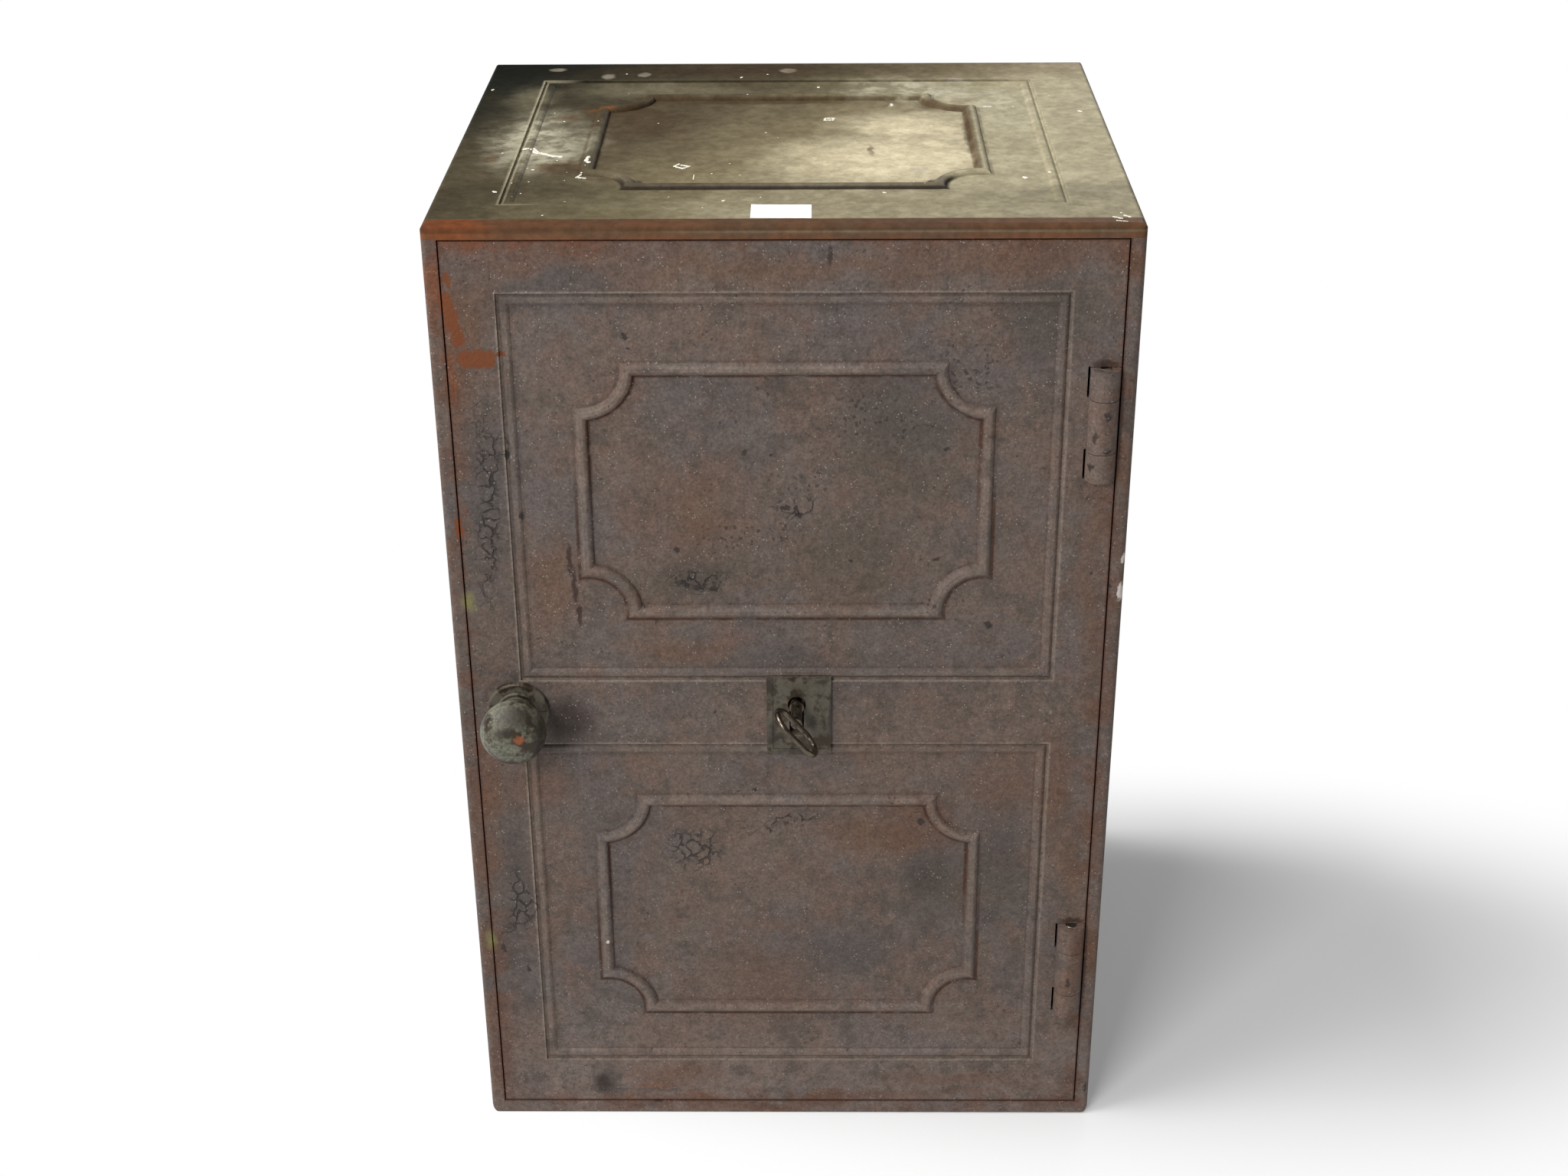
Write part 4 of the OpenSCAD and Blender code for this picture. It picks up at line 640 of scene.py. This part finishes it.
steel_finish = Finish("steel")
steel_cloud = steel_finish.noise(7, 4, 0.6, seed=33)
steel_rust = steel_finish.step(steel_cloud, 0.48, 0.64)
steel_finish.colour = steel_finish.mix(steel_rust, srgb(132, 124, 112), srgb(96, 66, 46))
steel_gloss = steel_finish.step(steel_cloud, 0.4, 0.62, 0.32, 0.66)
steel = steel_finish.end(steel_gloss, steel_cloud, 0.0002, 1 - steel_rust)

key_finish = Finish("key_steel")
key_cloud = key_finish.noise(4, 4, 0.6, seed=34)
key_dark = key_finish.step(key_cloud, 0.5, 0.66)
key_finish.colour = key_finish.mix(key_dark, srgb(100, 91, 79), srgb(60, 49, 41))
key_gloss = key_finish.step(key_cloud, 0.4, 0.65, 0.24, 0.5)
key_steel = key_finish.end(key_gloss, key_cloud, 0.00015, 1 - key_dark * 0.6)
for finish in (inside, steel_finish, key_finish):
    print(finish.material.name, len(finish.tree.nodes), "nodes")

# %% Brass under verdigris and old paint
brass = Finish("old_brass")
brass_y = brass.axes()[1]
brass_cloud = brass.noise(11, 5, 0.62, seed=41)
brass_fine = brass.noise(2, 4, 0.6, seed=42)
brass_torn = brass.rough_place(6, 7, seed=43)
brass.colour = brass.mix(brass.step(brass_fine, 0.35, 0.65), srgb(82, 81, 69), srgb(118, 116, 100))
# The escutcheon lies behind the depth of -200 mm, and the knob stands before -206 mm
on_escutcheon = brass.step(brass_y, -206, -200)
brass.coat(on_escutcheon * 0.75, srgb(84, 76, 66))
worn = brass.step(brass_cloud, 0.46, 0.6)
brass.coat(worn, srgb(60, 51, 41))
dark_blots = brass.blots(brass_torn, [
    ((-179, -236, 373), (22, 18, 14)), ((-188, -240, 363), (12, 10, 7)), ((-166, -232, 358), (7, 12, 18)),
    ((-184, -206, 355), (20, 5, 20)), ((-188, -238, 338), (20, 12, 4)),
    ((8, -198, 322), (22, 4, 5)), ((-9, -198, 336), (6, 4, 18)), ((30, -198, 352), (3, 4, 28)),
    ((-12, -198, 376), (6, 4, 5)), ((24, -198, 377), (7, 4, 4)), ((17, -198, 344), (6, 4, 9)),
    ((8, -197, 358), (9, 4, 12)),
], 0.2)
knob_primer = brass.blots(brass_torn, [
    ((-178, -241, 358), (4.5, 7, 3.6)), ((-196, -236, 336), (6, 10, 3)),
], 0.4)
brass.coat(dark_blots * 0.85, srgb(50, 44, 37))
brass.coat(knob_primer * 0.8, srgb(146, 80, 48))
brass_gloss = brass.step(brass_cloud, 0.4, 0.62, 0.5, 0.3) + dark_blots * 0.05
brass_metal = worn * (1 - dark_blots) * 0.4
brass_bump = brass_fine + brass_cloud * 0.5
old_brass = brass.end(brass_gloss, brass_bump, 0.0003, brass_metal, extra={"Specular IOR Level": 0.25})
print("brass:", len(brass.tree.nodes), "nodes")

# %% Give every solid its finish
finishes = {
    "front_iron": front_iron, "top_iron": top_iron, "inside_iron": inside_iron,
    "steel": steel, "old_brass": old_brass, "key_steel": key_steel,
}
for subpart in frame["record"]["subparts"]:
    solid = nodes[subpart["node"]]
    for slot in solid.material_slots:
        slot.material = finishes[subpart["material_slot"]]

# %% [markdown]
# ## A paper label
#
# A plain sticky label lies near the front edge of the top, as things carry when they change hands. It
# is left blank. It could be a flat rectangle, but paper that has been stuck on rough iron is never
# flat, so a fine grid is given a slight wave and a lifted edge, and then a thickness. All is in metres.

# %% Cut and lift the label
LABEL_LOW = Vector((-0.0205, -0.181))
LABEL_SIZE = Vector((0.0381, 0.0262))
LABEL_SLANT = 0.0008
CASE_HEIGHT = 0.7
PAPER_THICKNESS = 0.00011
PAPER_GAP = 0.00004
WAVE_HEIGHT = 0.00004
WAVES_ACROSS = 3.5
EDGE_LIFT = 0.00008
CORNER_LIFT = 0.00012


def past(value, start):
    """0 up to start, and from there a straight rise to 1 at value 1."""
    return max(0, value - start) / (1 - start)


def paper_height(u, v):
    """How far the paper stands off the iron at u across and v from front to back, both 0 to 1."""
    lifted_edge = past(v, 0.72)
    lifted_corner = past(1 - u, 0.75) * past(v, 0.6)
    wave = WAVE_HEIGHT * (1 + (2 * WAVES_ACROSS * u % 2 - 1) ** 2)
    return PAPER_GAP + wave + EDGE_LIFT * lifted_edge ** 2 + CORNER_LIFT * lifted_corner


def grid_mesh(name, columns, rows, point):
    """A grid of four-sided faces, whose points are given by a function of two shares, 0 to 1."""
    verts = [point(c / columns, r / rows) for r in range(rows + 1) for c in range(columns + 1)]
    faces = []
    for r in range(rows):
        for c in range(columns):
            a = r * (columns + 1) + c
            faces.append((a, a + 1, a + columns + 2, a + columns + 1))
    mesh = bpy.data.meshes.new(name)
    mesh.from_pydata(verts, [], faces)
    return mesh


def label_point(u, v):
    return (
        LABEL_LOW.x + LABEL_SIZE.x * u,
        LABEL_LOW.y + LABEL_SIZE.y * v - LABEL_SLANT * u,
        CASE_HEIGHT + paper_height(u, v),
    )


paper = Finish("label_paper")
fibre = paper.noise(0.8, 4, 0.6, seed=51)
paper.colour = paper.mix(paper.step(fibre, 0.3, 0.7), srgb(232, 234, 240), srgb(246, 247, 250))
paper_white = paper.end(fibre * 0.1 + 0.62, fibre, 0.00003)

label_mesh = grid_mesh("paper_label", columns=28, rows=18, point=label_point)
label = bpy.data.objects.new("paper_label", label_mesh)
bpy.context.scene.collection.objects.link(label)
label.data.materials.append(paper_white)
thickness = label.modifiers.new("thickness", "SOLIDIFY")
thickness.thickness = PAPER_THICKNESS
thickness.offset = 1
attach(label, "case")
print("label:", len(label.data.polygons), "faces")

# %% [markdown]
# ## Paint drips on the top
#
# Drops of white paint and wax are raised, catch the light and throw small shadows, which a flat stain
# can't do. Geometry Nodes scatter them over the real surface, so each drop sits on the rail, the bead
# or the sunken ground under it. A fixed seed gives the same drops on each run.

# %% The scatter tree
def scatter_tree(name):
    """An empty tree with named inputs, whose values are given by each use of it."""
    tree = bpy.data.node_groups.new(name, "GeometryNodeTree")
    tree.interface.new_socket("Geometry", in_out="INPUT", socket_type="NodeSocketGeometry")
    for input_name, kind in (
        ("Drops per square metre", "NodeSocketFloat"),
        ("Smallest radius", "NodeSocketFloat"),
        ("Largest radius", "NodeSocketFloat"),
        ("Flatness", "NodeSocketFloat"),
        ("Seed", "NodeSocketInt"),
        ("Paint", "NodeSocketMaterial"),
    ):
        tree.interface.new_socket(input_name, in_out="INPUT", socket_type=kind)
    tree.interface.new_socket("Geometry", in_out="OUTPUT", socket_type="NodeSocketGeometry")
    return tree


def add(tree, kind, settings, sockets):
    """Adds a node to any tree: its settings, then the values or links of its inputs."""
    node = tree.nodes.new(kind)
    for key, value in settings.items():
        setattr(node, key, value)
    for key, value in sockets.items():
        if isinstance(value, bpy.types.NodeSocket):
            tree.links.new(value, node.inputs[key])
        else:
            node.inputs[key].default_value = value
    return node


drops = scatter_tree("paint_drops")
given = drops.nodes.new("NodeGroupInput").outputs
scatter = add(drops, "GeometryNodeDistributePointsOnFaces", {"distribute_method": "RANDOM"}, {
    "Mesh": given["Geometry"], "Density": given["Drops per square metre"], "Seed": given["Seed"],
})
radius = add(drops, "FunctionNodeRandomValue", {"data_type": "FLOAT"}, {
    "Min": given["Smallest radius"], "Max": given["Largest radius"], "Seed": given["Seed"],
})
print("scatter tree:", len(drops.nodes), "nodes so far")

# %% The drop and the end of the tree
ball = add(drops, "GeometryNodeMeshUVSphere", {}, {"Segments": 9, "Rings": 6, "Radius": 1.0})
flat = add(drops, "ShaderNodeCombineXYZ", {}, {0: 1.0, 1: 1.0, 2: given["Flatness"]})
flat_ball = add(drops, "GeometryNodeTransform", {}, {
    "Geometry": ball.outputs[0], "Scale": flat.outputs[0],
})
instances = add(drops, "GeometryNodeInstanceOnPoints", {}, {
    "Points": scatter.outputs["Points"], "Instance": flat_ball.outputs[0],
    "Rotation": scatter.outputs["Rotation"], "Scale": radius.outputs[1],
})
solid_drops = add(drops, "GeometryNodeRealizeInstances", {}, {0: instances.outputs[0]})
painted = add(drops, "GeometryNodeSetMaterial", {}, {
    "Geometry": solid_drops.outputs[0], "Material": given["Paint"],
})
add(drops, "NodeGroupOutput", {}, {0: painted.outputs[0]})
print("scatter tree:", len(drops.nodes), "nodes")

# %% Scatter the drops over the top
SMALLEST_DROP = 0.00035
DROP_FLATNESS = 0.2
FACING_UP = 0.9
LOWEST_LANDING = 0.695

drip = Finish("dripped_paint")
drip_tone = drip.noise(1.2, 3, 0.5, seed=61)
drip.colour = drip.mix(drip.step(drip_tone, 0.3, 0.7), srgb(196, 190, 172), srgb(226, 222, 208))
dripped_paint = drip.end(drip_tone * 0.2 + 0.42, drip_tone, 0.0001)


def patch_of_top(name, low, high):
    """A copy of the top's upward faces inside a box, for the drops to land on."""
    source = nodes["top_plate"].data
    verts = [tuple(v.co) for v in source.vertices]
    faces = []
    for polygon in source.polygons:
        c = polygon.center
        inside_box = low[0] < c.x < high[0] and low[1] < c.y < high[1]
        if inside_box and polygon.normal.z > FACING_UP and c.z > LOWEST_LANDING:
            faces.append(tuple(polygon.vertices))
    mesh = bpy.data.meshes.new(name)
    mesh.from_pydata(verts, [], faces)
    return mesh


def scatter_drops(name, low, high, density, largest, seed):
    """Drops on the top between two corners, given in metres, with density drops per square metre."""
    carrier = bpy.data.objects.new(name, patch_of_top(name, low, high))
    bpy.context.scene.collection.objects.link(carrier)
    modifier = carrier.modifiers.new("drops", "NODES")
    modifier.node_group = drops
    values = {
        "Drops per square metre": float(density), "Smallest radius": SMALLEST_DROP,
        "Largest radius": largest, "Flatness": DROP_FLATNESS, "Seed": seed, "Paint": dripped_paint,
    }
    for item in drops.interface.items_tree:
        if item.name in values:
            modifier[item.identifier] = values[item.name]
    evaluated = carrier.evaluated_get(bpy.context.evaluated_depsgraph_get())
    result = bpy.data.meshes.new_from_object(evaluated)
    carrier.modifiers.remove(modifier)
    carrier.data = result
    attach(carrier, "case")
    print("%s: %d faces" % (name, len(result.polygons)))


scatter_drops("scattered_drops", (-0.205, -0.17), (0.215, 0.17), density=210, largest=0.0009, seed=7)
scatter_drops("left_side_drops", (-0.19, -0.09), (-0.13, 0.01), density=1500, largest=0.0012, seed=3)

# %% [markdown]
# The largest drips have places of their own. Each is a short path of overlapping flat drops, laid on
# the iron by a ray that looks straight down at the top plate. The path's points are in millimetres from
# the middle of the top, and the radius beside it is in metres.

# %% Drips at their own places
RAY_START = 0.8
STRAIGHT_DOWN = Vector((0, 0, -1))
DRIP_STEP = 0.9
DRIP_HEIGHT = 0.35


def flat_drop(verts, faces, centre, radius, height, sides=10):
    """Adds half a flattened ball to the lists: a ring just under the iron, a smaller one and a tip."""
    start = len(verts)
    for share, rise in ((1.0, -0.15), (0.75, 0.65)):
        for i in range(sides):
            a = math.tau * i / sides
            verts.append((
                centre.x + radius * share * math.cos(a),
                centre.y + radius * share * math.sin(a),
                centre.z + height * rise,
            ))
    verts.append((centre.x, centre.y, centre.z + height))
    for i in range(sides):
        j = (i + 1) % sides
        faces.append((start + i, start + j, start + sides + j, start + sides + i))
        faces.append((start + sides + i, start + sides + j, start + 2 * sides))
    faces.append(tuple(start + i for i in reversed(range(sides))))


def drip_along(verts, faces, path, radius):
    """Drops along a path, each a little larger or smaller than the last."""
    for number, (start, end) in enumerate(zip(path, path[1:])):
        start, end = Vector(start) / MM_PER_METRE, Vector(end) / MM_PER_METRE
        count = max(1, round((end - start).length / (radius * DRIP_STEP)))
        for step_number in range(count):
            spot = start.lerp(end, step_number / count)
            hit, place, _, _ = nodes["top_plate"].ray_cast(Vector((*spot, RAY_START)), STRAIGHT_DOWN)
            wobble = 0.75 + 0.25 * math.sin(3 * number + 2.1 * step_number)
            if hit:
                flat_drop(verts, faces, place, radius * wobble, radius * DRIP_HEIGHT)


drip_verts, drip_faces = [], []
for path, radius in (
    ([(-178, -30), (-172, -29), (-170, -34), (-162, -38), (-158, -42), (-150, -44)], 0.0019),
    ([(-172, -24), (-168, -33), (-162, -37)], 0.0012),
    ([(-71, -58), (-74, -63), (-68, -68), (-64, -63), (-70, -60)], 0.0013),
    ([(-132, -52), (-133, -61), (-130, -66)], 0.0019),
    ([(-134, -84), (-137, -90), (-130, -92)], 0.0012),
    ([(27, 46), (33, 46), (34, 51), (28, 51), (27, 47)], 0.0012),
    ([(157, -93), (159, -95)], 0.002),
    ([(174, -85), (175, -88)], 0.0015),
    ([(208, 57), (211, 54)], 0.0014),
    ([(-187, -126), (-184, -128)], 0.0014),
    ([(-38, -140), (-40, -143)], 0.0013),
    ([(205, -181), (211, -185)], 0.0013),
    ([(212, -178), (216, -182)], 0.0012),
    ([(206, -188), (213, -190)], 0.0008),
    ([(142, 76), (149, 76)], 0.0012),
    ([(76, 83), (76, 88)], 0.0015),
    ([(23, 129), (23, 131)], 0.0014),
    ([(-60, -82), (-60, -92)], 0.0005),
    ([(-35, 150), (-34, 153)], 0.0012),
    ([(-218, 118), (-217, 121)], 0.0013),
    ([(64, -124), (66, -126)], 0.0012),
):
    drip_along(drip_verts, drip_faces, path, radius)
drip_mesh = bpy.data.meshes.new("placed_drips")
drip_mesh.from_pydata(drip_verts, [], drip_faces)
drip_mesh.polygons.foreach_set("use_smooth", [True] * len(drip_faces))
placed_drips = bpy.data.objects.new("placed_drips", drip_mesh)
bpy.context.scene.collection.objects.link(placed_drips)
drip_mesh.materials.append(dripped_paint)
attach(placed_drips, "case")
print("placed drips: %d faces" % len(drip_faces))

# %% [markdown]
# ## The studio
#
# The photograph has no backdrop: the ground is pure white with one soft shadow to the right. Near the
# box the floor is plain white paint, so the shadow falls on it. Further off it fades into a white that
# shines by itself, and there the picture is as white as paper. To the light that bounces about, the
# floor is a middle grey instead, or it would fill the moulded panels from below.

# %% Floor and world
PURE_WHITE = (1, 1, 1, 1)
PAINT_WHITE = (0.92, 0.92, 0.92, 1)
MIDDLE_GREY = (0.5, 0.5, 0.5, 1)
PAINT_SHARE = 0.87
FLOOR_SIZE = 24
SKY_STRENGTH = 0.2


def floor_point(u, v):
    return ((u - 0.5) * FLOOR_SIZE, (v - 0.5) * FLOOR_SIZE, 0)


ground = Finish("studio_floor")
from_camera = ground.node("ShaderNodeLightPath", {}, {}, "Is Camera Ray")
other_rays = from_camera.socket.node.outputs
glossy = Value(ground, other_rays["Is Glossy Ray"])
through_glass = Value(ground, other_rays["Is Transmission Ray"])
seen = ground.most(from_camera, ground.most(glossy, through_glass))
near_box = ground.ovals(ground.place, on_top, [(300, -20, 660, 330)], 0.45)
paint = ground.node("ShaderNodeBsdfDiffuse", {}, {"Color": PAINT_WHITE})
glow = ground.node("ShaderNodeEmission", {}, {"Color": PURE_WHITE, "Strength": 1.0})
white_floor = ground.node("ShaderNodeMixShader", {}, {0: near_box * PAINT_SHARE, 1: glow, 2: paint})
grey_floor = ground.node("ShaderNodeBsdfDiffuse", {}, {"Color": MIDDLE_GREY})
ground.show(ground.node("ShaderNodeMixShader", {}, {0: seen, 1: grey_floor, 2: white_floor}))

floor = bpy.data.objects.new("floor", grid_mesh("floor", columns=1, rows=1, point=floor_point))
bpy.context.scene.collection.objects.link(floor)
floor.data.materials.append(ground.material)

world = bpy.data.worlds.new("studio")
bpy.context.scene.world = world
world.use_nodes = True
sky = world.node_tree
sky.nodes.clear()
sky_rays = add(sky, "ShaderNodeLightPath", {}, {})
soft_grey = add(sky, "ShaderNodeBackground", {}, {"Color": PURE_WHITE, "Strength": SKY_STRENGTH})
plain_white = add(sky, "ShaderNodeBackground", {}, {"Color": PURE_WHITE, "Strength": 1.0})
choose = add(sky, "ShaderNodeMixShader", {}, {
    0: sky_rays.outputs["Is Camera Ray"], 1: soft_grey.outputs[0], 2: plain_white.outputs[0],
})
add(sky, "ShaderNodeOutputWorld", {}, {"Surface": choose.outputs[0]})
print("studio floor and sky ready")

# %% [markdown]
# Three soft lamps. The main one stands high at the left, which throws the shadow to the right and
# lets each moulding show a lit and a dark side. A weaker one stands lower, at the front left, and
# lights the door. The third is behind the box, and glances off the top, as the window did on the day of
# the picture.

# %% Lamps
def area_lamp(name, place, aim, size, watts):
    data = bpy.data.lights.new(name, "AREA")
    data.shape = "RECTANGLE"
    data.size, data.size_y = size
    data.energy = watts
    lamp = bpy.data.objects.new(name, data)
    direction = Vector(aim) - Vector(place)
    aimed = direction.to_track_quat("-Z", "Y").to_matrix().to_4x4()
    lamp.matrix_world = Matrix.Translation(place) @ aimed
    bpy.context.scene.collection.objects.link(lamp)


area_lamp("side_lamp", place=(-1.8, -0.1, 3.1), aim=(0, 0, 0.2), size=(2.4, 2.0), watts=143)
area_lamp("front_lamp", place=(-1.3, -2.7, 2.05), aim=(0, -0.2, 0.35), size=(1.3, 1.3), watts=64)
area_lamp("back_lamp", place=(0.9, 2.7, 1.6), aim=(0.1, 0.0, 0.7), size=(0.8, 0.5), watts=9)
print("lamps: 3")

# %% The view transform
scene = bpy.context.scene
scene.view_settings.view_transform = "Standard"
